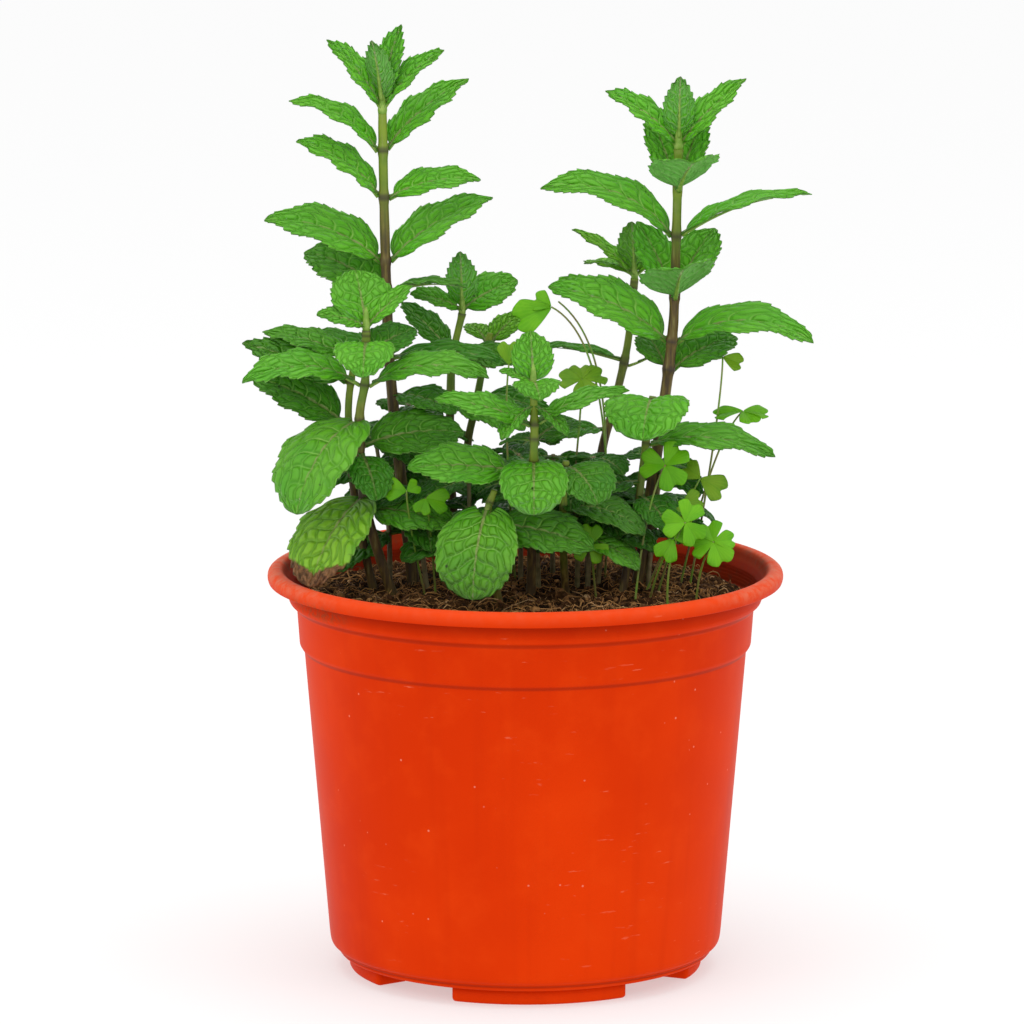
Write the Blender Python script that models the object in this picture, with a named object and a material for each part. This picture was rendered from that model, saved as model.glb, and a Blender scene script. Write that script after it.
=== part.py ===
"""A mint plant with a little wood sorrel, growing in a round nursery pot.

The origin is at the centre of the ground circle, +Z is up and -Y is the front.
Sizes below are in millimetres and degrees, and metres() turns them into metres.
"""

import math

import bmesh
import bpy
from mathutils import Matrix, Vector

GAP = 0.3  # clearance between pieces that touch

# Pot: a thin moulded shell with a rolled rim, a shoulder band and four feet.
RIM_RADIUS = 110.0
RIM_TOP = 174.0
LIP_EDGE = 167.6
NECK_RADIUS = 101.0
SHOULDER_TOP = 158.0
SHOULDER_RADIUS = 97.8
STEP_HEIGHT = 141.0
STEP_RADIUS = 96.5
WALL_TOP_RADIUS = 94.4
WALL_FOOT_RADIUS = 83.8
WALL_FOOT = 13.0
BASE_RADIUS = 80.0
WALL = 1.8
FLOOR_UNDER = 7.0
FLOOR_TOP = 10.0
POT_SEGMENTS = 48

FEET = 4
FOOT_ARC = 59.0
FOOT_TURN = 5.0  # the front foot sits a little to the right
FOOT_INNER = 60.0
FOOT_OUTER = 75.6

DRAIN_HOLES = 5
DRAIN_RADIUS = 5.0
DRAIN_CIRCLE = 46.0

# Soil: fills the pot to a little under the rim, heaped towards the middle.
SOIL_EDGE = 160.5
SOIL_HEAP = 6.0
SOIL_SEGMENTS = 48
PLANTED = 12.0  # how far each stem goes down into the soil

# Leaves are thin lens-shaped blades on short stalks.
BLADE_THICK = 0.9
STALK_WIDE = 1.8
RING_WALL = 1.1
RING_HIGH = 3.4

# Sorrel stalks are thin and stand a little way down in the soil.
STALK_RADIUS = 0.8
STALK_PLANTED = 5.0

COLOURS = {
    "pot": (0.73, 0.052, 0.008, 0.38),
    "soil": (0.033, 0.015, 0.007, 0.95),
    "stem": (0.125, 0.105, 0.028, 0.6),
    "leaf": (0.045, 0.25, 0.032, 0.5),
    "leaf_dark": (0.022, 0.135, 0.016, 0.5),
    "leaf_old": (0.13, 0.27, 0.035, 0.55),
    "sorrel": (0.15, 0.42, 0.03, 0.5),
}

# Each stem: radius at the soil, radius at the top, then points (x, y, z) from
# the soil up.
STEMS = {
    "stem_tall_left": (2.7, 1.9, ((-46, 8, 150), (-52, 10, 200), (-57.5, 12, 255),
                                  (-59, 12, 291), (-60, 12, 330), (-60.5, 12, 366))),
    "stem_tall_right": (2.8, 1.9, ((46, 6, 150), (53, 8, 200), (59.8, 10, 248),
                                   (62.5, 10, 272), (63.4, 10, 290), (64.8, 10, 351))),
    "stem_back_right": (2.2, 1.5, ((26, 34, 150), (32, 40, 210), (38, 44, 235),
                                   (44, 45, 262), (47, 45, 291))),
    "stem_back_left": (2.2, 1.5, ((-26, 20, 150), (-32, 26, 205), (-32, 30, 244),
                                  (-31, 30, 260), (-27, 30, 278))),
    "stem_back_middle": (2.0, 1.3, ((-18, 34, 150), (-25, 38, 210), (-21, 40, 238),
                                    (-17, 40, 259), (-15, 40, 268))),
    "stem_front_left": (2.3, 1.6, ((-52, -12, 150), (-67, -18, 200), (-70, -20, 238),
                                   (-67.5, -20, 257), (-67, -20, 278))),
    "stem_front_middle": (2.1, 1.5, ((2, -18, 150), (3, -26, 200), (3.4, -43, 227),
                                     (3.6, -45, 242), (3.2, -45, 258))),
    "stem_brown_left": (2.0, 1.4, ((-62, 0, 150), (-72, -2, 200), (-75, -6, 240),
                                   (-72, -8, 266))),
    "stem_low_right": (1.9, 1.4, ((38, -14, 150), (46, -12, 190), (51, -8, 228),
                                  (54, -8, 248))),
    "stem_low_middle": (1.9, 1.3, ((18, -14, 150), (16, -26, 185), (16, -34, 210),
                                   (17, -36, 225))),
    "stem_low_front": (1.9, 1.3, ((-8, -34, 150), (-14, -40, 180), (-16, -42, 203),
                                  (-13, -43, 214))),
}

# Each leaf node: its stem, its colour, then its leaves as
# (height on the stem, heading, rise at the base, rise at the tip, stalk,
#  blade length, blade width, roll, turn, fold, fullness).
# Heading 0 is +X, 90 is the back and -90 the front. Roll lifts the left half,
# turn swings the tip to the left, and fullness runs from pointed 0 to round 1.
LEAVES = {
    "leaves_tall_left_1": ("stem_tall_left", "leaf_dark", (
        (290, 132, 42, 8, 3, 42, 27, 10, 0, 12, 0.3),
        (291, -12, 18, -12, 3, 30, 19, 0, 0, 10, 0.2))),
    "leaves_tall_left_2": ("stem_tall_left", "leaf", (
        (303, 176, 42, -4, 3, 51, 27, -28, 0, 10, 0.35),
        (303, 18, 44, 14, 3, 50, 27, 16, 0, 10, 0.3))),
    "leaves_tall_left_3": ("stem_tall_left", "leaf", (
        (331, 192, 54, 14, 3, 41, 22, -28, 0, 12, 0.35),
        (330, 10, 28, -8, 3, 38, 20, 22, 0, 10, 0.5))),
    "leaves_tall_left_4": ("stem_tall_left", "leaf", (
        (350, 176, 54, 4, 3, 42, 19, -16, 0, 14, 0.2),
        (351, 26, 50, 22, 3, 45, 21, 14, 0, 10, 0.2))),
    "tip_tall_left": ("stem_tall_left", "leaf", (
        (369, 186, 60, 42, 2, 35, 17, -34, 0, 14, 0.2),
        (369, -8, 56, 30, 2, 34, 17, 30, 0, 14, 0.2),
        (372, 246, 76, 62, 1, 27, 13, 0, 0, 14, 0.2),
        (374, 40, 80, 62, 1, 30, 14, 20, 0, 14, 0.2))),
    "leaves_tall_right_1": ("stem_tall_right", "leaf_dark", (
        (257, 32, 34, 4, 3, 32, 24, 20, 0, 8, 0.4),
        (257, 116, 42, 24, 2, 22, 20, 0, 0, 8, 0.4))),
    "leaf_tall_right_low_left": ("stem_tall_right", "leaf", (
        (269, 184, 44, 6, 3, 54, 28, -34, 0, 10, 0.35),)),
    "leaf_tall_right_low_right": ("stem_tall_right", "leaf", (
        (269, -6, 35, -34, 3, 59, 27, 20, 0, 10, 0.4),)),
    "leaves_tall_right_3": ("stem_tall_right", "leaf", (
        (288, -86, 36, 14, 3, 38, 32, 10, 0, 16, 0.6),
        (290, 130, 60, 42, 3, 33, 20, -10, 0, 8, 0.4),
        (290, 48, 58, 34, 3, 32, 24, 10, 0, 8, 0.4))),
    "leaf_tall_right_mid_left": ("stem_tall_right", "leaf", (
        (314, 180, 54, -14, 3, 60, 24, -24, 0, 10, 0.35),)),
    "leaf_tall_right_mid_right": ("stem_tall_right", "leaf", (
        (315, 0, 34, 0, 3, 56, 24, 4, 0, 10, 0.2),)),
    "leaves_tall_right_5": ("stem_tall_right", "leaf", (
        (334, -80, 36, 14, 3, 34, 30, 4, 0, 20, 0.6),
        (336, 128, 66, 50, 3, 31, 17, -10, 0, 8, 0.4),
        (336, 54, 66, 48, 3, 31, 16, 10, 0, 8, 0.4))),
    "tip_tall_right": ("stem_tall_right", "leaf", (
        (352, 184, 52, 22, 2, 37, 18, -30, 0, 12, 0.2),
        (352, 10, 52, 36, 2, 38, 18, 24, 0, 12, 0.2),
        (356, -84, 84, 76, 1, 26, 14, 0, 0, 12, 0.3))),
    "leaves_back_right_1": ("stem_back_right", "leaf_dark", (
        (256, 176, 16, -2, 3, 36, 16, 0, 0, 8, 0.2),
        (254, -8, 18, 34, 8, 15, 14, 0, 0, 8, 0.4))),
    "tip_back_right": ("stem_back_right", "leaf_old", (
        (289, 172, 46, 24, 2, 31, 14, -10, 0, 10, 0.2),
        (290, 255, 84, 72, 2, 22, 15, 0, 0, 10, 0.4),
        (289, 10, 40, 10, 2, 14, 12, 0, 0, 10, 0.4),
        (287, 140, 20, -10, 2, 24, 24, 0, 0, 10, 0.5))),
    "leaves_back_left_1": ("stem_back_left", "leaf_dark", (
        (261, 152, 46, 34, 3, 28, 19, -10, 0, 8, 0.4),
        (260, -18, 6, -10, 3, 27, 20, 24, 0, 6, 0.4))),
    "tip_back_left": ("stem_back_left", "leaf", (
        (278, 196, 28, 8, 2, 22, 15, -26, 0, 10, 0.4),
        (280, 262, 84, 74, 2, 24, 14, 0, 0, 12, 0.3),
        (278, 14, 38, 14, 2, 25, 22, 30, 0, 8, 0.6))),
    "leaves_back_middle": ("stem_back_middle", "leaf_old", (
        (264, 34, 46, 30, 2, 17, 14, 20, 0, 8, 0.4),
        (264, 118, 30, 10, 2, 15, 13, 0, 0, 8, 0.4))),
    "tip_front_left": ("stem_front_left", "leaf", (
        (278, 106, 60, 44, 2, 25, 27, 0, 0, 10, 0.6),
        (278, 196, 26, 4, 2, 20, 15, -24, 0, 8, 0.4),
        (278, 20, 46, 32, 2, 24, 15, 18, 0, 10, 0.3))),
    "leaf_front_left_fore": ("stem_front_left", "leaf", (
        (273, -92, 2, -56, 2, 24, 26, 0, 0, 8, 0.5),)),
    "leaf_front_left_wide": ("stem_front_left", "leaf", (
        (255, 188, 34, -30, 7, 46, 25, -20, 0, 8, 0.4),)),
    "leaf_front_left_inner": ("stem_front_left", "leaf", (
        (255, -10, 34, -24, 5, 49, 24, 18, 0, 8, 0.35),)),
    "leaf_front_left_big": ("stem_front_left", "leaf", (
        (240, 227, -12, -74, 5, 49, 36, 0, 0, 4, 0.8),)),
    "leaf_front_left_back": ("stem_front_left", "leaf_dark", (
        (229, 12, 20, -10, 4, 40, 27, 34, 0, 4, 0.6),)),
    "leaf_front_left_old": ("stem_front_left", "leaf_old", (
        (207, 236, -18, -64, 5, 46, 36, 0, 0, 4, 0.9),)),
    "leaf_front_left_low": ("stem_front_left", "leaf", (
        (201, -10, 4, -16, 2, 28, 24, 22, 0, 6, 0.4),)),
    "leaves_brown_left_1": ("stem_brown_left", "leaf_dark", (
        (264, 164, 26, 2, 3, 38, 20, -14, 0, 8, 0.3),
        (264, 22, 32, 10, 3, 24, 22, 20, 0, 8, 0.5))),
    "leaf_brown_left_mid": ("stem_brown_left", "leaf_dark", (
        (254, 172, 26, 12, 4, 44, 18, -46, 0, 8, 0.3),)),
    "leaf_brown_left_low": ("stem_brown_left", "leaf_dark", (
        (236, 176, 40, 12, 4, 41, 25, -36, 0, 8, 0.4),)),
    "tip_front_middle": ("stem_front_middle", "leaf", (
        (258, 96, 68, 50, 1, 16, 15, 0, 0, 10, 0.5),
        (258, -82, 6, -34, 1, 17, 17, 4, 0, 10, 0.5),
        (258, 186, 30, 10, 1, 14, 10, -16, 0, 8, 0.4))),
    "leaf_front_middle_left": ("stem_front_middle", "leaf", (
        (242, 178, 26, 4, 3, 39, 20, -20, 0, 8, 0.3),)),
    "leaf_front_middle_right": ("stem_front_middle", "leaf", (
        (243, 3, 34, 4, 3, 38, 18, 14, 0, 8, 0.3),)),
    "leaves_front_middle_back": ("stem_front_middle", "leaf_dark", (
        (236, 48, 24, 0, 3, 22, 20, 12, 0, 8, 0.5),
        (236, 140, 0, -30, 2, 15, 13, -10, 0, 8, 0.5))),
    "leaf_front_middle_round": ("stem_front_middle", "leaf", (
        (226.5, -90, -14, -76, 1, 27, 29, 0, 0, 4, 1.0),)),
    "leaf_front_middle_wide": ("stem_front_middle", "leaf", (
        (220, 187, 14, -6, 10, 42, 27, -30, 0, 6, 0.5),)),
    "leaf_hanging_round": ("stem_low_front", "leaf", (
        (211, 216, -34, -88, 9, 37, 35, 0, 20, 4, 1.0),)),
    "leaf_low_front_right": ("stem_low_front", "leaf_dark", (
        (202, -14, 4, -20, 3, 38, 26, 26, 0, 6, 0.4),)),
    "leaf_low_middle_top": ("stem_low_middle", "leaf_dark", (
        (223, -16, 6, -26, 2, 24, 20, 20, 0, 6, 0.4),)),
    "leaves_low_middle_1": ("stem_low_middle", "leaf_dark", (
        (205, -4, 10, -40, 12, 19, 19, 10, 0, 4, 0.9),
        (206, 60, 34, 10, 3, 20, 18, 0, 0, 6, 0.5))),
    "leaf_low_middle_front": ("stem_low_middle", "leaf", (
        (192, -12, 0, -46, 12, 19, 19, 10, 0, 4, 0.9),)),
    "leaf_low_right_round": ("stem_low_right", "leaf", (
        (247, -100, 6, -60, 1, 30, 36, 0, 0, 8, 1.0),)),
    "leaf_low_right_long": ("stem_low_right", "leaf", (
        (228, -5, 16, -26, 4, 51, 26, 16, 0, 8, 0.35),)),
}

# Wood sorrel: the foot (x, y) in the soil, the point the stalk bows towards,
# its head, and round leaflets (heading, rise, length, width) about the head.
SORREL = {
    "sorrel_right_open": ((46, -30), (50, -26, 205), (59, -22, 221), (
        (95, 62, 10, 10), (178, 8, 11, 10), (12, 34, 11, 10), (-96, -58, 11, 11), (-22, -34, 10, 9))),
    "sorrel_right_front": ((60, -38), (58, -42, 186), (66, -42, 199), (
        (70, 50, 10, 9), (176, 20, 9, 8), (-110, -44, 11, 10), (8, 24, 9, 6))),
    "sorrel_right_low": ((72, -28), (72, -34, 180), (78, -38, 191), (
        (190, -20, 10, 9), (-70, -50, 10, 9), (40, 44, 9, 8))),
    "sorrel_right_high": ((66, 18), (80, 18, 226), (93, 16, 238), (
        (176, 6, 11, 8), (-4, 8, 11, 8), (-80, -14, 8, 7))),
    "sorrel_middle_high": ((34, 18), (40, 14, 268), (11, 8, 284), (
        (172, 34, 10, 12), (-60, 16, 12, 13))),
}


def metres(*values):
    return Vector(values) * 0.001


def clear_scene():
    for thing in list(bpy.data.objects):
        bpy.data.objects.remove(thing, do_unlink=True)


def material(name):
    red, green, blue, rough = COLOURS[name]
    made = bpy.data.materials.new(name)
    made.use_nodes = True
    shader = made.node_tree.nodes["Principled BSDF"]
    shader.inputs["Base Color"].default_value = (red, green, blue, 1.0)
    shader.inputs["Roughness"].default_value = rough
    shader.inputs["Metallic"].default_value = 0.0
    made.diffuse_color = (red, green, blue, 1.0)
    return made


def finish_mesh(bm, name, colour, helper=False):
    """Turns a bmesh into a linked object with its own material."""
    bmesh.ops.recalc_face_normals(bm, faces=bm.faces)
    mesh = bpy.data.meshes.new(name)
    bm.to_mesh(mesh)
    bm.free()
    thing = bpy.data.objects.new(name, mesh)
    bpy.context.scene.collection.objects.link(thing)
    mesh.materials.append(material(colour))
    if helper:
        thing.hide_render = True
        thing.display_type = "WIRE"
    return thing


def loft(sections, name, colour, helper=False):
    """Closed body through equal rings of points, capped at both ends."""
    bm = bmesh.new()
    rings = [[bm.verts.new(metres(*point)) for point in ring] for ring in sections]
    count = len(rings[0])
    for low, high in zip(rings, rings[1:]):
        for i in range(count):
            j = (i + 1) % count
            bm.faces.new((low[i], low[j], high[j], high[i]))
    bm.faces.new(rings[0][::-1])
    bm.faces.new(rings[-1])
    return finish_mesh(bm, name, colour, helper)


def turned(profile, name, colour, segments):
    """Spins a closed outline of (radius, height) points about the Z axis."""
    bm = bmesh.new()
    verts = [bm.verts.new(metres(radius, 0, height)) for radius, height in profile]
    edges = [bm.edges.new(pair) for pair in zip(verts, verts[1:])]
    if profile[0][0] > 0:
        edges.append(bm.edges.new((verts[-1], verts[0])))
    bmesh.ops.spin(bm, geom=verts + edges, cent=(0, 0, 0), axis=(0, 0, 1),
                   angle=math.tau, steps=segments, use_merge=True, use_duplicate=False)
    bmesh.ops.remove_doubles(bm, verts=bm.verts, dist=1e-6)
    return finish_mesh(bm, name, colour)


def boolean(thing, operation, other, solver="EXACT"):
    modifier = thing.modifiers.new(operation.lower() + "_" + other.name, "BOOLEAN")
    modifier.operation = operation
    modifier.solver = solver
    modifier.object = other


def pot_profile():
    outer = [
        (0, FLOOR_UNDER),
        (BASE_RADIUS - 0.6, FLOOR_UNDER),
        (BASE_RADIUS, FLOOR_UNDER + 2.0),
        (BASE_RADIUS + 2.4, FLOOR_UNDER + 3.2),
        (WALL_FOOT_RADIUS, WALL_FOOT),
        (WALL_TOP_RADIUS, STEP_HEIGHT - 3.0),
        (STEP_RADIUS, STEP_HEIGHT),
        (SHOULDER_RADIUS, SHOULDER_TOP),
        (NECK_RADIUS, SHOULDER_TOP + 3.4),
        (NECK_RADIUS, LIP_EDGE - 0.8),
        (NECK_RADIUS + 1.4, LIP_EDGE + 1.8),
        (RIM_RADIUS - 2.6, LIP_EDGE + 1.4),
        (RIM_RADIUS - 1.4, LIP_EDGE),
        (RIM_RADIUS, LIP_EDGE + 2.4),
        (RIM_RADIUS - 0.9, RIM_TOP - 1.4),
        (RIM_RADIUS - 3.6, RIM_TOP),
        (RIM_RADIUS - 6.2, RIM_TOP - 0.8),
        (RIM_RADIUS - 7.6, RIM_TOP - 3.4),
    ]
    inner = [
        (NECK_RADIUS - WALL, LIP_EDGE - 1.6),
        (NECK_RADIUS - WALL, SHOULDER_TOP + 2.6),
        (SHOULDER_RADIUS - WALL, SHOULDER_TOP - 0.8),
        (STEP_RADIUS - WALL, STEP_HEIGHT),
        (WALL_TOP_RADIUS - WALL, STEP_HEIGHT - 4.0),
        (WALL_FOOT_RADIUS - WALL, WALL_FOOT),
        (BASE_RADIUS - 2.0, FLOOR_TOP),
        (0, FLOOR_TOP),
    ]
    return outer + inner


def build_foot(index):
    """One arc-shaped foot under the pot, with rounded ends."""
    middle = math.radians(-90 + FOOT_TURN + index * 360 / FEET)
    half = math.radians(FOOT_ARC / 2)
    sections = []
    for along in (-1, -0.93, -0.8, -0.4, 0, 0.4, 0.8, 0.93, 1):
        angle = middle + along * half
        squeeze = 0.45 if abs(along) == 1 else 0.8 if abs(along) > 0.9 else 1
        centre = (FOOT_INNER + FOOT_OUTER) / 2
        reach = (FOOT_OUTER - FOOT_INNER) / 2 * squeeze
        ring = []
        for radius, height in ((centre - reach, 0), (centre + reach, 0),
                               (centre + reach, FLOOR_UNDER + 1), (centre - reach, FLOOR_UNDER + 1)):
            ring.append((radius * math.cos(angle), radius * math.sin(angle), height))
        sections.append(ring)
    return loft(sections, f"foot_{index + 1}", "pot", helper=True)


def build_pot():
    pot = turned(pot_profile(), "pot", "pot", POT_SEGMENTS)
    for index in range(FEET):
        boolean(pot, "UNION", build_foot(index))
    for index in range(DRAIN_HOLES):
        angle = math.radians(-90 + (index + 0.5) * 360 / DRAIN_HOLES)
        bm = bmesh.new()
        centre = metres(DRAIN_CIRCLE * math.cos(angle), DRAIN_CIRCLE * math.sin(angle), 8)
        bmesh.ops.create_cone(bm, cap_ends=True, segments=16, radius1=DRAIN_RADIUS * 0.001,
                              radius2=DRAIN_RADIUS * 0.001, depth=0.012, matrix=Matrix.Translation(centre))
        boolean(pot, "DIFFERENCE", finish_mesh(bm, f"drain_{index + 1}", "pot", helper=True))
    return pot


def soil_top(radius, angle):
    """Height of the heaped, uneven soil surface."""
    share = radius / (SHOULDER_RADIUS - WALL)
    heap = SOIL_HEAP * (1 - share ** 2)
    lumps = 0.9 * math.sin(3 * angle + 0.06 * radius) + 0.6 * math.sin(7 * angle - 0.11 * radius)
    return SOIL_EDGE + heap + lumps * share * (1.3 - share)


def build_soil():
    """Soil body under one uneven surface, with a socket for each stem."""
    foot = WALL_FOOT_RADIUS - WALL - GAP - 0.3
    step = WALL_TOP_RADIUS - WALL - GAP - 0.2
    edge = STEP_RADIUS - WALL - GAP - 0.1
    rings = [(10, FLOOR_TOP + GAP), (BASE_RADIUS - 3, FLOOR_TOP + GAP), (foot, WALL_FOOT + 0.6),
             (step, STEP_HEIGHT - 4.4), (edge, STEP_HEIGHT + 0.4), (edge + 0.9, SOIL_EDGE - 2.0)]
    surface = [edge - 1, 72, 48, 24, 8]
    sections = []
    for radius, height in rings:
        sections.append([(radius * math.cos(a), radius * math.sin(a), height) for a in soil_angles()])
    for radius in surface:
        ring = []
        for a in soil_angles():
            ring.append((radius * math.cos(a), radius * math.sin(a), soil_top(radius, a)))
        sections.append(ring)
    soil = loft(sections, "soil", "soil")
    for name, (low, high, points) in STEMS.items():
        sections = stem_sections(low + GAP, low + GAP, points, grow=GAP)[:4]
        boolean(soil, "DIFFERENCE", loft(sections, "socket_" + name, "soil", helper=True))
    for name, (foot, bow, head, _) in SORREL.items():
        sections = stalk_sections(foot, bow, head, STALK_RADIUS + GAP, STALK_PLANTED + GAP, 0.5)
        boolean(soil, "DIFFERENCE", loft(sections, "socket_" + name, "soil", helper=True))
    return soil


def soil_angles():
    return [math.tau * i / SOIL_SEGMENTS for i in range(SOIL_SEGMENTS)]


def curve_point(points, share):
    """Point of a Catmull-Rom curve through points, share running from 0 to 1."""
    spans = len(points) - 1
    at = min(share * spans, spans - 1e-6)
    i = int(at)
    t = at - i
    p1, p2 = Vector(points[i]), Vector(points[i + 1])
    p0 = Vector(points[i - 1]) if i else p1 * 2 - p2
    p3 = Vector(points[i + 2]) if i + 2 <= spans else p2 * 2 - p1
    return 0.5 * (2 * p1 + (p2 - p0) * t + (2 * p0 - 5 * p1 + 4 * p2 - p3) * t ** 2
                  + (3 * p1 - p0 - 3 * p2 + p3) * t ** 3)


def stem_at(points, height):
    """Centre and direction of the stem at this height."""
    low, high = 0.0, 1.0
    for _ in range(40):
        middle = (low + high) / 2
        if curve_point(points, middle).z < height:
            low = middle
        else:
            high = middle
    here = curve_point(points, low)
    along = curve_point(points, min(low + 0.01, 1)) - curve_point(points, max(low - 0.01, 0))
    return here, along.normalized(), low


def stem_sections(low_radius, high_radius, points, grow=0.0):
    """Six-sided rings square to the stem, starting in the soil."""
    count = len(points) + 3
    sections = []
    for step in range(count + 1):
        share = step / count
        centre = curve_point(points, share)
        if step == 0:
            centre = centre - Vector((0, 0, PLANTED + grow))
        along = curve_point(points, min(share + 0.01, 1)) - curve_point(points, max(share - 0.01, 0))
        along.normalize()
        side = Vector((0, 1, 0)).cross(along).normalized()
        other = along.cross(side)
        radius = low_radius + (high_radius - low_radius) * share
        ring = []
        for k in range(6):
            angle = math.tau * k / 6
            ring.append(centre + (side * math.cos(angle) + other * math.sin(angle)) * radius)
        sections.append(ring)
    return sections


def build_stems():
    for name, (low, high, points) in STEMS.items():
        loft(stem_sections(low, high, points), name, "stem")


def blade_half_width(share, fullness):
    """Half width of a leaf outline, as a share of its widest half."""
    widest = 0.38 + 0.08 * fullness
    if share < widest:
        return math.sqrt(max(0.0, 1 - (1 - share / widest) ** 2)) ** 0.9
    rest = (share - widest) / (1 - widest)
    return (1 - rest ** 2) ** (0.95 - 0.42 * fullness)


def leaf_sections(base, leaf):
    """Rings of six points along one leaf, from the stalk to the tip."""
    height, heading, rise, tip_rise, stalk, length, width, roll, turn, fold, fullness = leaf
    total = stalk + length
    shares = [0.0, stalk / total]
    stations = (0.07, 0.22, 0.42, 0.64, 0.84, 0.985) if length > 30 else (0.09, 0.32, 0.6, 0.84, 0.985)
    shares += [stalk / total + (1 - stalk / total) * s for s in stations]
    here = Vector(base)
    before = 0.0
    sections = []
    for share in shares:
        steps = 6
        for k in range(steps):
            t = before + (share - before) * (k + 0.5) / steps
            pitch = math.radians(rise + (tip_rise - rise) * t)
            yaw = math.radians(heading + turn * t)
            here = here + Vector((math.cos(pitch) * math.cos(yaw), math.cos(pitch) * math.sin(yaw),
                                  math.sin(pitch))) * (share - before) / steps * total
        before = share
        pitch = math.radians(rise + (tip_rise - rise) * share)
        yaw = math.radians(heading + turn * share)
        along = Vector((math.cos(pitch) * math.cos(yaw), math.cos(pitch) * math.sin(yaw), math.sin(pitch)))
        left = Vector((-math.sin(yaw), math.cos(yaw), 0))
        up = along.cross(left)
        spin = math.radians(roll)
        left, up = left * math.cos(spin) + up * math.sin(spin), up * math.cos(spin) - left * math.sin(spin)
        blade = (share - shares[1]) / (1 - shares[1])
        if blade <= 0:
            half, lift, bulge, thick = STALK_WIDE / 2, 0.0, 0.35, STALK_WIDE * 0.8
        else:
            half = max(0.5, width / 2 * blade_half_width(blade, fullness))
            lift = math.sin(math.radians(fold)) * half
            bulge = 0.08 * half
            thick = BLADE_THICK
        ring = [
            here + left * half + up * lift,
            here + left * half * 0.55 + up * (lift * 0.55 + bulge + thick / 4),
            here + up * thick / 2,
            here - left * half * 0.55 + up * (lift * 0.55 + bulge + thick / 4),
            here - left * half + up * lift,
            here - up * thick / 2,
        ]
        sections.append(ring)
    return sections


def node_ring(stem, height, radius, name, colour):
    """The collar that joins leaves around the stem."""
    centre, along, _ = stem_at(STEMS[stem][2], height)
    outline = ((radius + GAP, -RING_HIGH / 2), (radius + GAP + RING_WALL, -RING_HIGH / 2),
               (radius + GAP + RING_WALL, RING_HIGH / 2), (radius + GAP, RING_HIGH / 2))
    ring = turned(outline, name, colour, 10)
    turn = Vector((0, 0, 1)).rotation_difference(along).to_matrix().to_4x4()
    ring.data.transform(Matrix.Translation(centre * 0.001) @ turn)
    return ring


def build_leaf_nodes():
    for name, (stem, colour, leaves) in LEAVES.items():
        low, high, points = STEMS[stem]
        pieces = []
        many = len(leaves) > 1
        tip = name.startswith("tip_")
        if tip:
            start = Vector(points[-1]) + Vector((0, 0, GAP))
            sections = []
            for rise, radius in ((0, high), (2.5, high * 1.1), (6, high * 0.8), (9, 0.6)):
                centre = start + Vector((0, 0, rise))
                ring = []
                for k in range(6):
                    angle = math.tau * k / 6
                    ring.append(centre + Vector((math.cos(angle), math.sin(angle), 0)) * radius)
                sections.append(ring)
            core = loft(sections, name, colour)
        elif many:
            middle = sum(leaf[0] for leaf in leaves) / len(leaves)
            _, _, share = stem_at(points, middle)
            core = node_ring(stem, middle, low + (high - low) * share, name, colour)
        for index, leaf in enumerate(leaves):
            centre, along, share = stem_at(points, min(leaf[0], points[-1][2] - 0.01))
            heading = math.radians(leaf[1])
            out = Vector((math.cos(heading), math.sin(heading), 0))
            out = (out - along * out.dot(along)).normalized()
            radius = low + (high - low) * share
            if tip:
                climb = max(GAP + 1.6, leaf[0] - points[-1][2])
                base = Vector(points[-1]) + Vector((0, 0, climb)) + out * 0.4
            else:
                lean = abs(math.sin(math.radians(leaf[2]))) * STALK_WIDE * 0.4
                base = centre + out * (radius + GAP + (0.3 if many else lean))
            if many:
                piece = loft(leaf_sections(base, leaf), f"{name}_leaf_{index + 1}", colour, helper=True)
                boolean(core, "UNION", piece, "MANIFOLD")
            else:
                loft(leaf_sections(base, leaf), name, colour)


def round_leaflet(centre, heading, rise, length, width):
    """Thin round leaflet from the head of a sorrel stalk."""
    along = Vector((math.cos(heading) * math.cos(rise), math.sin(heading) * math.cos(rise), math.sin(rise)))
    left = Vector((-math.sin(heading), math.cos(heading), 0))
    up = along.cross(left)
    sections = []
    for share in (0.0, 0.12, 0.35, 0.62, 0.86, 0.99):
        half = max(0.5, width / 2 * math.sin(math.pi * min(share * 0.93 + 0.03, 1)) ** 0.6)
        here = centre + along * (length * share - 0.4)
        sections.append([here + left * half + up * half * 0.12, here + up * 0.4,
                         here - left * half + up * half * 0.12, here - up * 0.4])
    return sections


def stalk_sections(foot, bow, head, radius, depth, stop=1.0):
    """Thin five-sided stalk on a quadratic curve, starting under the soil."""
    ground = soil_top(math.hypot(*foot), math.atan2(foot[1], foot[0]))
    start, bow, end = Vector((foot[0], foot[1], ground - depth)), Vector(bow), Vector(head)
    sections = []
    for step in range(9):
        share = step / 8 * stop
        centre = start * (1 - share) ** 2 + bow * 2 * share * (1 - share) + end * share ** 2
        along = ((bow - start) * (1 - share) + (end - bow) * share).normalized()
        side = Vector((0, 1, 0)).cross(along).normalized()
        other = along.cross(side)
        ring = []
        for k in range(5):
            angle = math.tau * k / 5
            ring.append(centre + (side * math.cos(angle) + other * math.sin(angle)) * radius)
        sections.append(ring)
    return sections


def build_sorrel():
    for name, (foot, bow, head, leaflets) in SORREL.items():
        core = loft(stalk_sections(foot, bow, head, STALK_RADIUS, STALK_PLANTED), name, "sorrel")
        for index, (heading, rise, length, width) in enumerate(leaflets):
            blade = round_leaflet(Vector(head) - Vector((0, 0, 0.3)), math.radians(heading),
                                  math.radians(rise), length, width)
            leaflet = loft(blade, f"{name}_leaflet_{index + 1}", "sorrel", helper=True)
            boolean(core, "UNION", leaflet, "MANIFOLD")


clear_scene()
build_pot()
build_soil()
build_stems()
build_leaf_nodes()
build_sorrel()
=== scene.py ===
import math
import random

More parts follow.
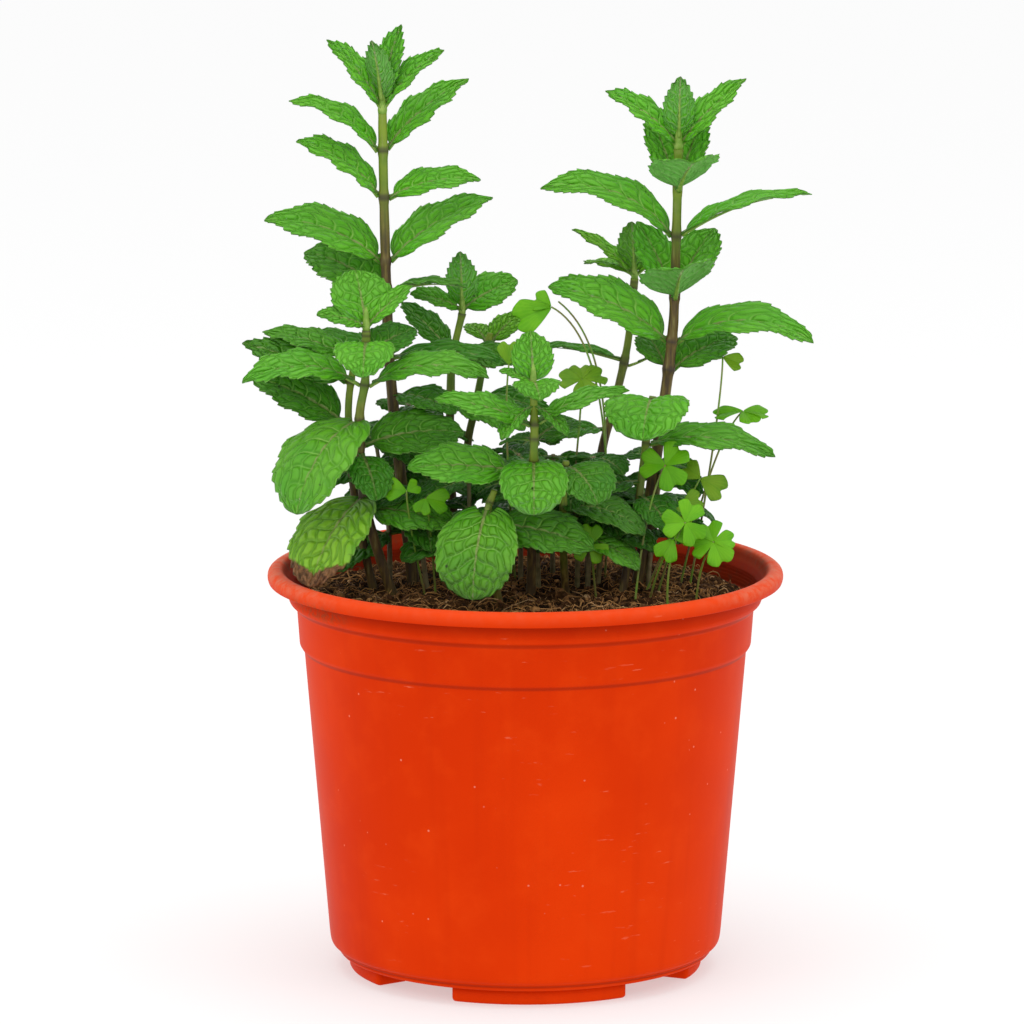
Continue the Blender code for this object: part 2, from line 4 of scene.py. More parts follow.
import bmesh
import bpy
from mathutils import Matrix, Vector, noise


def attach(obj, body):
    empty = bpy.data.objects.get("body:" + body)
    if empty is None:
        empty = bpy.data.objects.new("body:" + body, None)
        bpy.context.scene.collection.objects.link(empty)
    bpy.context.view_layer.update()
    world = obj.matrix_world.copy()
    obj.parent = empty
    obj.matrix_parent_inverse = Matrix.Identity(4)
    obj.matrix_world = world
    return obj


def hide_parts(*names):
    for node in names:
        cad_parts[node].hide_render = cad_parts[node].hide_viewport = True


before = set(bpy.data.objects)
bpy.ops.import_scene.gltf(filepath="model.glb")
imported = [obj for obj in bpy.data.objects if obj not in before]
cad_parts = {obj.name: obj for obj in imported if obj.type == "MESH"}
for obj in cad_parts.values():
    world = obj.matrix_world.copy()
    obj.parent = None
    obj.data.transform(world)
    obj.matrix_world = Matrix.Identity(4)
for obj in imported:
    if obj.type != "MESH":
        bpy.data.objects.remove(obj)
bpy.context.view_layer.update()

print("frame loaded")

# All sizes in the tables are millimetres and degrees, and each mesh is scaled to metres when it is finished.


class Wire:
    # one output socket of a shader, usable in ordinary sums
    def __init__(self, shader, socket):
        self.shader = shader
        self.socket = socket

    def sum(self, operation, *values):
        return self.shader.node("ShaderNodeMath", {"operation": operation}, dict(enumerate((self,) + values)))

    def __add__(self, other):
        return self.sum("ADD", other)

    def __radd__(self, other):
        return self.sum("ADD", other)

    def __sub__(self, other):
        return self.sum("SUBTRACT", other)

    def __rsub__(self, other):
        return self.shader.node("ShaderNodeMath", {"operation": "SUBTRACT"}, {0: other, 1: self})

    def __mul__(self, other):
        return self.sum("MULTIPLY", other)

    def __rmul__(self, other):
        return self.sum("MULTIPLY", other)

    def __truediv__(self, other):
        return self.sum("DIVIDE", other)

    def __pow__(self, other):
        return self.sum("POWER", other)

    def __gt__(self, other):
        return self.sum("GREATER_THAN", other)

    def __abs__(self):
        return self.sum("ABSOLUTE")


class Shader:
    def __init__(self, name):
        self.material = bpy.data.materials.new(name)
        self.material.use_nodes = True
        self.tree = self.material.node_tree
        self.tree.nodes.clear()

    def node(self, kind, settings=None, values=None, output=0):
        made = self.tree.nodes.new(kind)
        for key, value in (settings or {}).items():
            setattr(made, key, value)
        for key, value in (values or {}).items():
            if isinstance(value, Wire):
                self.tree.links.new(value.socket, made.inputs[key])
            else:
                made.inputs[key].default_value = value
        return Wire(self, made.outputs[output]) if made.outputs else None

    def attribute(self, name, output="Vector"):
        return self.node("ShaderNodeAttribute", {"attribute_name": name}, output=output)

    def parts(self, vector):
        return [self.node("ShaderNodeSeparateXYZ", {}, {0: vector}, k) for k in range(3)]

    def objectPlace(self, scale=(1, 1, 1)):
        place = self.node("ShaderNodeTexCoord", output="Object")
        return self.node("ShaderNodeVectorMath", {"operation": "MULTIPLY"}, {0: place, 1: scale})

    def noise(self, place, scale, detail=3.0, rough=0.55):
        values = {"Vector": place, "Scale": scale, "Detail": detail, "Roughness": rough}
        return self.node("ShaderNodeTexNoise", {}, values)

    def cells(self, place, scale):
        values = {"Vector": place, "Scale": scale}
        return self.node("ShaderNodeTexVoronoi", {"feature": "F1"}, values, "Distance")

    def band(self, value, low, high, fromLow=0.0, fromHigh=1.0):
        # a smooth change from fromLow to fromHigh while the value goes from low to high
        return self.node("ShaderNodeMapRange", {"interpolation_type": "SMOOTHSTEP"},
                         {0: value, 1: low, 2: high, 3: fromLow, 4: fromHigh})

    def mix(self, share, first, second):
        colours = [c if isinstance(c, Wire) else (*c, 1) for c in (first, second)]
        values = {0: share, 6: colours[0], 7: colours[1]}
        return self.node("ShaderNodeMix", {"data_type": "RGBA"}, values, 2)

    def bump(self, height, strength, distance):
        return self.node("ShaderNodeBump", {}, {"Height": height, "Strength": strength, "Distance": distance})

    def finish(self, values, through=None, share=0.0):
        # the main shader, with light coming through it where a colour for that is given
        top = self.node("ShaderNodeBsdfPrincipled", {}, values)
        if through is not None:
            back = self.node("ShaderNodeBsdfTranslucent", {}, {"Color": through})
            top = self.node("ShaderNodeMixShader", {}, {0: share, 1: top, 2: back})
        self.node("ShaderNodeOutputMaterial", {}, {0: top})
        return self.material


def addPiece(bm, name, materials, nodes):
    bmesh.ops.scale(bm, vec=(0.001, 0.001, 0.001), verts=bm.verts)
    mesh = bpy.data.meshes.new(name)
    for face in bm.faces:
        face.smooth = True
    bm.to_mesh(mesh)
    bm.free()
    piece = bpy.data.objects.new(name, mesh)
    bpy.context.scene.collection.objects.link(piece)
    for one in materials:
        mesh.materials.append(one)
    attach(piece, "root")
    if nodes:
        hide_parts(*nodes)
    return piece


def pullOn(bm, edges):
    # pulls edges on by one step, and gives the new points and the new edges
    grown = bmesh.ops.extrude_edge_only(bm, edges=edges)["geom"]
    verts = [g for g in grown if isinstance(g, bmesh.types.BMVert)]
    known = set(verts)
    lines = [g for g in grown if isinstance(g, bmesh.types.BMEdge) and known.issuperset(g.verts)]
    return verts, lines


def sweep(bm, places, sides):
    # a tube: one ring of points, pulled along from place to place
    shape = bm.verts.layers.float_vector.get("ring") or bm.verts.layers.float_vector.new("ring")
    first = bmesh.ops.create_circle(bm, cap_ends=True, segments=sides, radius=1)["verts"]
    for vert in first:
        vert[shape] = vert.co
        vert.co = places[0] @ vert.co
    made = list(first)
    edges = list({e for v in first for e in v.link_edges})
    for place in places[1:]:
        verts, edges = pullOn(bm, edges)
        for vert in verts:
            vert.co = place @ Vector(vert[shape])
        made += verts
    bmesh.ops.holes_fill(bm, edges=edges, sides=0)
    faces = list({f for v in made for f in v.link_faces})
    bmesh.ops.recalc_face_normals(bm, faces=faces)
    return made


def ringPlace(centre, along, radius, other=None, flat=1.0):
    # the matrix that puts a unit ring square to a direction
    side = (other or Vector((0, 1, 0))).cross(along)
    if side.length < 0.01:
        side = Vector((1, 0, 0)).cross(along)
    side.normalize()
    third = along.cross(side)
    turn = Matrix((side, third, along)).transposed().to_4x4()
    return Matrix.Translation(centre) @ turn @ Matrix.Diagonal((radius, radius * flat, radius, 1))


# ---- camera, floor and light

shot = {"place": (-0.0057, -2.8, 0.69), "aim": (-0.0057, 0.0, 0.197), "lens": 234.84}
studio = {"world": 0.99, "floor": 0.5, "floorSize": 12, "glow": 0.47, "left": 2.6, "right": 1.8, "top": 8.0,
          "front": 6.0, "lampAim": (0, 0, 0.22)}


def turnTo(place, aim):
    return (Vector(aim) - Vector(place)).to_track_quat("-Z", "Y").to_euler()


def setStage():
    eye = bpy.data.cameras.new("shotCamera")
    eye.lens = shot["lens"]
    eye.sensor_width = 36
    eye.clip_start = 0.05
    camera = bpy.data.objects.new("shotCamera", eye)
    bpy.context.scene.collection.objects.link(camera)
    camera.location = shot["place"]
    camera.rotation_euler = turnTo(shot["place"], shot["aim"])
    bpy.context.scene.camera = camera

    world = bpy.data.worlds.new("studioAir")
    world.use_nodes = True
    world.node_tree.nodes["Background"].inputs["Color"].default_value = (1.0, 1.0, 1.0, 1)
    world.node_tree.nodes["Background"].inputs["Strength"].default_value = studio["world"]
    bpy.context.scene.world = world
    bpy.context.scene.view_settings.view_transform = "Standard"

    bm = bmesh.new()
    bmesh.ops.create_grid(bm, x_segments=1, y_segments=1, size=studio["floorSize"])
    mesh = bpy.data.meshes.new("floor")
    bm.to_mesh(mesh)
    bm.free()
    floor = bpy.data.objects.new("floor", mesh)
    bpy.context.scene.collection.objects.link(floor)
    paint = Shader("floorPaper")
    level = studio["floor"]
    mesh.materials.append(paint.finish({
        "Base Color": (level, level, level, 1), "Roughness": 0.9, "Specular IOR Level": 0.0,
        "Emission Color": (1, 1, 1, 1), "Emission Strength": studio["glow"]}))

    for name, place, size, power in (
            ("lampLeft", (-1.5, -1.3, 1.1), (0.9, 1.4), studio["left"]),
            ("lampRight", (1.6, -1.0, 1.0), (0.9, 1.4), studio["right"]),
            ("lampTop", (0.0, -0.3, 1.9), (1.6, 1.2), studio["top"]),
            ("lampFront", (-0.5, -2.6, 1.5), (1.2, 0.9), studio["front"])):
        light = bpy.data.lights.new(name, "AREA")
        light.shape = "RECTANGLE"
        light.size, light.size_y = size
        light.energy = power
        lamp = bpy.data.objects.new(name, light)
        bpy.context.scene.collection.objects.link(lamp)
        lamp.location = place
        lamp.rotation_euler = turnTo(place, studio["lampAim"])


setStage()
print("stage set")


# ---- pot

pot = {
    "rim": 110.0, "rimTop": 174.0, "lipEdge": 167.6, "neck": 101.0, "shoulderTop": 158.0, "shoulder": 97.8,
    "stepHeight": 141.0, "step": 96.5, "wallTop": 94.4, "wallFoot": 83.8, "foot": 13.0, "base": 80.0,
    "wall": 1.8, "floorUnder": 7.0, "floorTop": 10.0, "segments": 192, "feet": 4, "footArc": 59.0,
    "footTurn": 5.0, "footInner": 60.0, "footOuter": 75.6, "holes": 5, "hole": 5.0, "holeCircle": 46.0}


def roundedLine(points):
    # replaces each corner that has a radius with a small arc
    line = []
    for before, here, after in zip(points[:1] + points, points, points[1:] + points[-1:]):
        radius = here[2]
        corner = Vector(here[:2])
        if radius <= 0:
            line.append(corner)
            continue
        back = Vector(before[:2]) - corner
        ahead = Vector(after[:2]) - corner
        start = corner + back.normalized() * min(radius, back.length * 0.45)
        end = corner + ahead.normalized() * min(radius, ahead.length * 0.45)
        for k in range(5):
            t = k / 4
            line.append(start * (1 - t) ** 2 + corner * 2 * t * (1 - t) + end * t ** 2)
    return line


def potOutline():
    p = pot
    wall = p["wall"]
    outer = [
        (0.0, p["floorUnder"], 0), (30.0, p["floorUnder"], 0), (p["base"] - 0.6, p["floorUnder"], 0.5),
        (p["base"] + 0.1, p["floorUnder"] + 0.9, 0.3), (p["base"] + 0.1, p["floorUnder"] + 1.8, 0.3),
        (p["base"] + 1.2, p["floorUnder"] + 2.4, 0.3), (p["base"] + 1.5, p["floorUnder"] + 3.2, 0.3),
        (p["wallFoot"] - 0.3, p["foot"] - 1.5, 2.2), (p["wallFoot"] + 0.3, p["foot"] + 3.4, 2.0),
        (p["wallTop"] - 0.1, p["stepHeight"] - 2.6, 0.5), (p["wallTop"] + 0.9, p["stepHeight"] - 1.4, 0.5),
        (p["step"] - 0.2, p["stepHeight"] + 0.2, 0.6),
        (p["shoulder"] - 0.4, p["shoulderTop"] - 1.6, 0.4),
        (p["shoulder"] + 0.4, p["shoulderTop"] - 0.4, 0.3),
        (p["neck"] - 0.6, p["shoulderTop"] + 1.4, 0.7), (p["neck"], p["shoulderTop"] + 3.0, 0.5),
        (p["neck"], p["lipEdge"] - 0.8, 0.5), (p["neck"] + 1.4, p["lipEdge"] + 1.8, 0.8),
        (p["rim"] - 2.6, p["lipEdge"] + 1.4, 0.4), (p["rim"] - 2.0, p["lipEdge"] + 0.1, 0.3),
        (p["rim"] - 0.7, p["lipEdge"], 0.5), (p["rim"], p["lipEdge"] + 2.2, 1.2),
        (p["rim"] - 0.5, p["rimTop"] - 1.6, 2.0), (p["rim"] - 3.6, p["rimTop"] + 0.1, 2.4),
        (p["rim"] - 7.0, p["rimTop"] - 0.9, 2.0), (p["rim"] - 8.2, p["rimTop"] - 4.2, 1.6),
    ]
    inner = [(p["neck"] - wall, p["lipEdge"] - 1.6, 1.2)]
    for k in range(5):  # shallow steps left by turning the mould
        height = p["lipEdge"] - 2.4 - k * 1.5
        radius = p["neck"] - wall - 0.05 - k * 0.16
        inner += [(radius, height, 0.15), (radius - 0.12, height - 0.4, 0.15)]
    inner += [
        (p["shoulder"] - wall, p["shoulderTop"] - 1.6, 0.8), (p["step"] - wall, p["stepHeight"], 1.0),
        (p["wallTop"] - wall, p["stepHeight"] - 4.0, 1.0), (p["wallFoot"] - wall, p["foot"], 2.0),
        (p["base"] - 2.0, p["floorTop"], 1.0), (30.0, p["floorTop"], 0), (0.0, p["floorTop"], 0),
    ]
    return roundedLine(outer + inner)


def drainCutter():
    bm = bmesh.new()
    for index in range(pot["holes"]):
        angle = math.radians(-90 + (index + 0.5) * 360 / pot["holes"])
        place = Vector((pot["holeCircle"] * math.cos(angle), pot["holeCircle"] * math.sin(angle), 8.5))
        bmesh.ops.create_cone(bm, cap_ends=True, segments=28, radius1=pot["hole"], radius2=pot["hole"],
                              depth=9, matrix=Matrix.Translation(place))
    bmesh.ops.scale(bm, vec=(0.001, 0.001, 0.001), verts=bm.verts)
    mesh = bpy.data.meshes.new("drainCutter")
    bm.to_mesh(mesh)
    bm.free()
    return bpy.data.objects.new("drainCutter", mesh)


def potPlastic():
    s = Shader("potPlastic")
    place = s.objectPlace()
    x, y, z = s.parts(place)
    around = s.node("ShaderNodeMath", {"operation": "ARCTAN2"}, {0: y, 1: x})
    radius = (x * x + y * y) ** 0.5
    cloud = s.noise(place, 9.0, 3.0)
    fine = s.noise(place, 900.0, 2.0)
    mottle = s.noise(place, 60.0, 4.0)
    flowPlace = s.node("ShaderNodeCombineXYZ", {}, {0: around * 9.0, 1: z * 5.0, 2: radius * 4.0})
    flow = s.noise(flowPlace, 1.0, 2.0)
    colour = s.mix(s.band(cloud, 0.35, 0.68), (0.62, 0.030, 0.0008), (0.71, 0.041, 0.0012))
    colour = s.mix(s.band(mottle, 0.45, 0.75) * 0.3, colour, (0.75, 0.055, 0.003))
    colour = s.mix(s.band(flow, 0.5, 0.8) * 0.25, colour, (0.52, 0.022, 0.001))
    # a painted highlight along the rim, dust on the rim's flanks, and a darker inside of painted shade with
    # dust over it
    rim = s.band(z, 0.1668, 0.1735)
    dust = s.noise(place, 210.0, 5.0, 0.65)
    flank = s.band(abs(x), 0.07, 0.104)
    # painted highlight: the rim is lightened to a paler orange
    colour = s.mix(rim * 0.6, colour, (0.82, 0.075, 0.014))
    colour = s.mix(rim * s.band(dust, 0.3, 0.75) * (flank * 0.6 + 0.08), colour, (0.62, 0.23, 0.14))
    normal = s.node("ShaderNodeNewGeometry", output="Normal")
    nx, ny, _ = s.parts(normal)
    inward = s.band((nx * x + ny * y) / radius, -0.2, -0.75) * s.band(z, 0.011, 0.02)
    # painted shade: the inside of the pot is darkened to a deeper red; the next mix adds dust
    colour = s.mix(inward * 0.75, colour, (0.26, 0.03, 0.009))
    colour = s.mix(inward * s.band(dust, 0.5, 0.7) * 0.5, colour, (0.13, 0.05, 0.026))
    # soil washed over the lip on the left
    smudgeX = s.band(abs(x + 0.09), 0.022, 0.006)
    smudge = smudgeX * s.band(y, -0.02, -0.045) * s.band(z, 0.158, 0.163) * s.band(z, 0.171, 0.166)
    grit = s.noise(place, 420.0, 4.0, 0.7)
    colour = s.mix(smudge * s.band(grit, 0.42, 0.6) * 0.6, colour, (0.2, 0.075, 0.03))
    # light scuffs and specks
    slant = around * 1.3 + z * 21.0
    scuffPlace = s.node("ShaderNodeCombineXYZ", {}, {0: around * 3.2, 1: z * 260.0, 2: slant})
    scuff = s.band(s.noise(scuffPlace, 2.2, 4.0, 0.6), 0.665, 0.72)
    scuff = scuff * s.band(s.noise(place, 14.0, 2.0), 0.5, 0.62)
    colour = s.mix(scuff * 0.35, colour, (0.86, 0.24, 0.13))
    speck = s.band(s.cells(place, 150.0), 0.09, 0.05) * s.band(s.noise(place, 70.0, 1.0), 0.56, 0.6)
    colour = s.mix(speck * 0.6, colour, (0.85, 0.3, 0.2))
    # painted shade in the creases above and below the bands, and painted shade under the lip
    crease_shade = s.band(abs(z - 0.1578), 0.0016, 0.0004) + s.band(abs(z - 0.1392), 0.0013, 0.0003)
    crease_shade = crease_shade + s.band(abs(z - 0.0091), 0.0012, 0.0003)
    outside = s.band((nx * x + ny * y) / radius, 0.2, 0.5)
    # painted shade under the lip
    shade = s.band(z, 0.1595, 0.167) * s.band(z, 0.1692, 0.1678) * s.band(radius, 0.1085, 0.105)
    colour = s.mix(shade * 0.6, colour, (0.3, 0.012, 0.0006))
    # painted shade in the creases at the bands and above the foot
    colour = s.mix(crease_shade * outside * 0.55, colour, (0.28, 0.017, 0.004))
    rough = 0.36 + s.band(cloud, 0.3, 0.7) * 0.08 + rim * 0.08 + inward * 0.2
    rough = rough + scuff * 0.1 + smudge * 0.2 + fine * 0.04
    height = fine * 0.1 + mottle * (1 - rim) * 0.12 - scuff * 0.35 + smudge * s.band(grit, 0.42, 0.6) * 0.8
    return s.finish({"Base Color": colour, "Roughness": rough, "Specular IOR Level": 0.02,
                     "Normal": s.bump(height, 0.35, 0.0004)})


def buildPot():
    plastic = potPlastic()
    bm = bmesh.new()
    verts = [bm.verts.new((point.x, 0, point.y)) for point in potOutline()]
    edges = [bm.edges.new(pair) for pair in zip(verts, verts[1:])]
    bmesh.ops.spin(bm, geom=verts + edges, cent=(0, 0, 0), axis=(0, 0, 1), angle=math.tau,
                   steps=pot["segments"], use_merge=True, use_duplicate=False)
    bmesh.ops.remove_doubles(bm, verts=bm.verts, dist=0.0005)
    bmesh.ops.recalc_face_normals(bm, faces=bm.faces)
    shell = addPiece(bm, "potShell", [plastic], ["pot"])
    cutter = drainCutter()
    bpy.context.scene.collection.objects.link(cutter)
    cut = shell.modifiers.new("drainHoles", "BOOLEAN")
    cut.operation = "DIFFERENCE"
    cut.object = cutter
    bpy.context.view_layer.update()
    graph = bpy.context.evaluated_depsgraph_get()
    drilled = bpy.data.meshes.new_from_object(shell.evaluated_get(graph))
    shell.modifiers.clear()
    shell.data = drilled
    bpy.data.objects.remove(cutter)

    bm = bmesh.new()
    for index in range(pot["feet"]):
        middle = math.radians(-90 + pot["footTurn"] + index * 360 / pot["feet"])
        half = math.radians(pot["footArc"] / 2)
        centre = (pot["footInner"] + pot["footOuter"]) / 2
        reach = (pot["footOuter"] - pot["footInner"]) / 2
        corners = bmesh.ops.create_grid(bm, x_segments=1, y_segments=1, size=1)["verts"]
        start = middle - half
        for vert in corners:
            out = centre + vert.co.x * reach
            vert.co = Vector((out * math.cos(start), out * math.sin(start), 3.9 + vert.co.y * 3.9))
        bmesh.ops.spin(bm, geom=[corners[0].link_faces[0]], cent=(0, 0, 0), axis=(0, 0, 1), angle=half * 2,
                       steps=24, use_merge=False, use_duplicate=False)
    bmesh.ops.remove_doubles(bm, verts=bm.verts, dist=0.001)
    bmesh.ops.holes_fill(bm, edges=[e for e in bm.edges if e.is_boundary], sides=0)
    bmesh.ops.recalc_face_normals(bm, faces=bm.faces)
    low = [e for e in bm.edges if e.calc_face_angle(0) > 1.0 and min(v.co.z for v in e.verts) < 1.0]
    bmesh.ops.bevel(bm, geom=low, offset=1.7, segments=4, profile=0.5, affect="EDGES", material=-1,
                    clamp_overlap=True)
    bmesh.ops.recalc_face_normals(bm, faces=bm.faces)
    addPiece(bm, "potFeet", [plastic], ["pot"])


buildPot()
print("pot built")


# ---- soil with coir fibres and crumbs

soil = {"edge": 160.5, "heap": 6.0, "outer": 95.2, "cells": 250, "fibres": 2800, "crumbs": 1500, "seed": 4}


def soilTop(radius, angle):
    share = radius / (pot["shoulder"] - pot["wall"])
    lumps = 0.9 * math.sin(3 * angle + 0.06 * radius) + 0.6 * math.sin(7 * angle - 0.11 * radius)
    return soil["edge"] + soil["heap"] * (1 - share ** 2) + lumps * share * (1.3 - share)


def soilHeight(x, y):
    radius = math.hypot(x, y)
    edge = min(1.0, max(0.0, (soil["outer"] - radius) / 5))
    big = noise.fractal(Vector((x, y, 3.0)) / 14, 0.8, 2.1, 3)
    mid = noise.fractal(Vector((x, y, 9.0)) / 4.2, 0.7, 2.2, 3)
    small = noise.noise(Vector((x, y, 5.0)) / 1.3)
    rough = big * 2.0 + mid * 1.3 + small * 0.35
    pit = min(0.0, noise.noise(Vector((x, y, 20.0)) / 5) + 0.2) * 7
    return soilTop(radius, math.atan2(y, x)) + (rough + pit) * (0.35 + 0.65 * edge) - 0.6


def soilEarth():
    s = Shader("soilEarth")
    place = s.objectPlace()
    coarse = s.noise(place, 120.0, 5.0, 0.6)
    fine = s.noise(place, 620.0, 5.0, 0.7)
    grain = s.cells(place, 520.0)
    colour = s.mix(s.band(coarse, 0.35, 0.65), (0.007, 0.003, 0.001), (0.06, 0.024, 0.007))
    colour = s.mix(s.band(fine, 0.48, 0.7), colour, (0.17, 0.075, 0.024))
    colour = s.mix(s.band(grain, 0.2, 0.05) * s.band(coarse, 0.5, 0.62), colour, (0.2, 0.1, 0.04))
    return s.finish({"Base Color": colour, "Roughness": 0.95, "Specular IOR Level": 0.12,
                     "Normal": s.bump(fine * 0.8 + coarse - grain * 0.4, 1.0, 0.0012)})


def coirFibre():
    s = Shader("coirFibre")
    tint = s.attribute("tint", "Fac")
    fleck = s.noise(s.objectPlace(), 300.0, 3.0)
    colour = s.mix(tint, (0.06, 0.022, 0.005), (0.86, 0.44, 0.15))
    colour = s.mix(s.band(tint, 0.8, 1.0) * 0.7, colour, (0.62, 0.42, 0.24))
    colour = s.mix(s.band(fleck, 0.4, 0.7) * 0.35, colour, (0.12, 0.05, 0.018))
    return s.finish({"Base Color": colour, "Roughness": 0.75, "Specular IOR Level": 0.2})


def buildSoil():
    pick = random.Random(soil["seed"])
    bm = bmesh.new()
    outer = soil["outer"]
    bmesh.ops.create_grid(bm, x_segments=soil["cells"], y_segments=soil["cells"], size=1)
    for vert in bm.verts:
        u, v = vert.co.x, vert.co.y
        x, y = u * math.sqrt(1 - v * v / 2) * outer, v * math.sqrt(1 - u * u / 2) * outer
        vert.co = Vector((x, y, soilHeight(x, y)))
    border = [e for e in bm.edges if e.is_boundary]
    wall = pot["wall"]
    for radius, height in (
            (outer, 156.0), (pot["step"] - wall - 0.5, pot["stepHeight"]),
            (pot["wallTop"] - wall - 0.5, pot["stepHeight"] - 4.4),
            (pot["wallFoot"] - wall - 0.6, pot["foot"] + 0.6), (pot["base"] - 3, pot["floorTop"] + 0.3)):
        verts, border = pullOn(bm, border)
        for vert in verts:
            flat = Vector((vert.co.x, vert.co.y)).normalized() * radius
            vert.co = (flat.x, flat.y, height)
    bmesh.ops.holes_fill(bm, edges=border, sides=0)
    bmesh.ops.recalc_face_normals(bm, faces=bm.faces)
    addPiece(bm, "soilBed", [soilEarth()], ["soil"])

    routes, shades = [], []
    steps = 5
    for _ in range(soil["fibres"]):
        reach = 93 * math.sqrt(pick.random())
        angle = pick.uniform(0, math.tau)
        heading = pick.uniform(0, math.tau)
        length = pick.choice((2.5, 3, 3, 4, 5, 6, 8, 11, 15)) * pick.uniform(0.7, 1.3)
        thick = pick.uniform(0.1, 0.22) * (1.4 if length > 9 else 1)
        bend = pick.uniform(-1.6, 1.6)
        lift = pick.uniform(0.0, 0.9) if pick.random() < 0.75 else pick.uniform(1.0, 3.2)
        here = Vector((reach * math.cos(angle), reach * math.sin(angle), 0))
        points = []
        for k in range(steps + 1):
            out = math.hypot(here.x, here.y)
            if out > 93.5:
                here = here * (93.5 / out)
            arch = math.sin(math.pi * k / steps)
            points.append(Vector((here.x, here.y, soilHeight(here.x, here.y) + 0.15 + arch * lift)))
            turn = heading + bend * k / steps + pick.uniform(-0.35, 0.35)
            here = here + Vector((math.cos(turn), math.sin(turn), 0)) * length / steps
        places = []
        for k, point in enumerate(points):
            along = points[min(k + 1, steps)] - points[max(k - 1, 0)]
            if along.length < 0.01:
                along = Vector((1, 0, 0))
            size = thick * (0.35 if k in (0, steps) else 1)
            places.append(ringPlace(point, along.normalized(), size, Vector((0, 0, 1))))
        routes.append(places)
        shades.append(min(1.0, max(0.0, pick.gauss(0.42, 0.32))))
    # every fibre grows by one step at a time, all of them together
    bm = bmesh.new()
    tint = bm.verts.layers.float.new("tint")
    strand = bm.verts.layers.int.new("strand")
    shape = bm.verts.layers.float_vector.new("ring")
    for index, places in enumerate(routes):
        for vert in bmesh.ops.create_circle(bm, cap_ends=True, segments=3, radius=1)["verts"]:
            vert[shape] = vert.co
            vert[strand] = index
            vert[tint] = shades[index]
            vert.co = places[0] @ vert.co
    edges = list(bm.edges)
    for step in range(1, steps + 1):
        verts, edges = pullOn(bm, edges)
        for vert in verts:
            vert.co = routes[vert[strand]][step] @ Vector(vert[shape])
    bmesh.ops.holes_fill(bm, edges=edges, sides=0)
    bmesh.ops.recalc_face_normals(bm, faces=bm.faces)
    addPiece(bm, "coirFibres", [coirFibre()], ["soil"])

    bm = bmesh.new()
    tint = bm.verts.layers.float.new("tint")
    for _ in range(soil["crumbs"]):
        reach = 93 * math.sqrt(pick.random())
        angle = pick.uniform(0, math.tau)
        x, y = reach * math.cos(angle), reach * math.sin(angle)
        size = pick.uniform(0.35, 1.5) * (1.5 if pick.random() < 0.1 else 1)
        flat = pick.uniform(0.5, 1)
        place = Matrix.Translation((x, y, soilHeight(x, y) + size * 0.2))
        place = place @ Matrix.Rotation(pick.uniform(0, 3), 4, "Z")
        place = place @ Matrix.Rotation(pick.uniform(0, 3), 4, "X")
        place = place @ Matrix.Diagonal((size, size * flat, size * pick.uniform(0.5, 1), 1))
        shade = min(1.0, max(0.0, pick.gauss(0.12, 0.16)))
        if pick.random() < 0.012:
            shade = 1.0
        for vert in bmesh.ops.create_icosphere(bm, subdivisions=1, radius=1, matrix=place)["verts"]:
            vert.co += Vector((pick.uniform(-1, 1), pick.uniform(-1, 1), pick.uniform(-1, 1))) * size * 0.22
            vert[tint] = shade
    addPiece(bm, "soilCrumbs", [coirFibre()], ["soil"])


buildSoil()
print("soil built")


# ---- stems: radius at the soil, radius at the top, then points from the soil up

stems = {
    "stem_tall_left": (2.7, 1.9, ((-46, 8, 150), (-52, 10, 200), (-57.5, 12, 255),
                                  (-59, 12, 291), (-60, 12, 330), (-60.5, 12, 366))),
    "stem_tall_right": (2.8, 1.9, ((46, 6, 150), (53, 8, 200), (59.8, 10, 248),
                                   (62.5, 10, 272), (63.4, 10, 290), (64.8, 10, 351))),
    "stem_back_right": (2.2, 1.5, ((26, 34, 150), (32, 40, 210), (38, 44, 235),
                                   (44, 45, 262), (47, 45, 291))),
    "stem_back_left": (2.2, 1.5, ((-26, 20, 150), (-32, 26, 205), (-32, 30, 244),
                                  (-31, 30, 260), (-27, 30, 278))),
    "stem_back_middle": (2.0, 1.3, ((-18, 34, 150), (-25, 38, 210), (-21, 40, 238),
                                    (-17, 40, 259), (-15, 40, 268))),
    "stem_front_left": (2.3, 1.6, ((-52, -12, 150), (-67, -18, 200), (-70, -20, 238),
                                   (-67.5, -20, 257), (-67, -20, 278))),
    "stem_front_middle": (2.1, 1.5, ((2, -18, 150), (3, -26, 200), (3.4, -43, 227),
                                     (3.6, -45, 242), (3.2, -45, 258))),
    "stem_brown_left": (2.0, 1.4, ((-62, 0, 150), (-72, -2, 200), (-75, -6, 240),
                                   (-72, -8, 266))),
    "stem_low_right": (1.9, 1.4, ((38, -14, 150), (46, -12, 190), (51, -8, 228),
                                  (54, -8, 248))),
    "stem_low_middle": (1.9, 1.3, ((18, -14, 150), (16, -26, 185), (16, -34, 210),
                                   (17, -36, 225))),
    "stem_low_front": (1.9, 1.3, ((-8, -34, 150), (-14, -40, 180), (-16, -42, 203),
                                  (-13, -43, 214))),
}

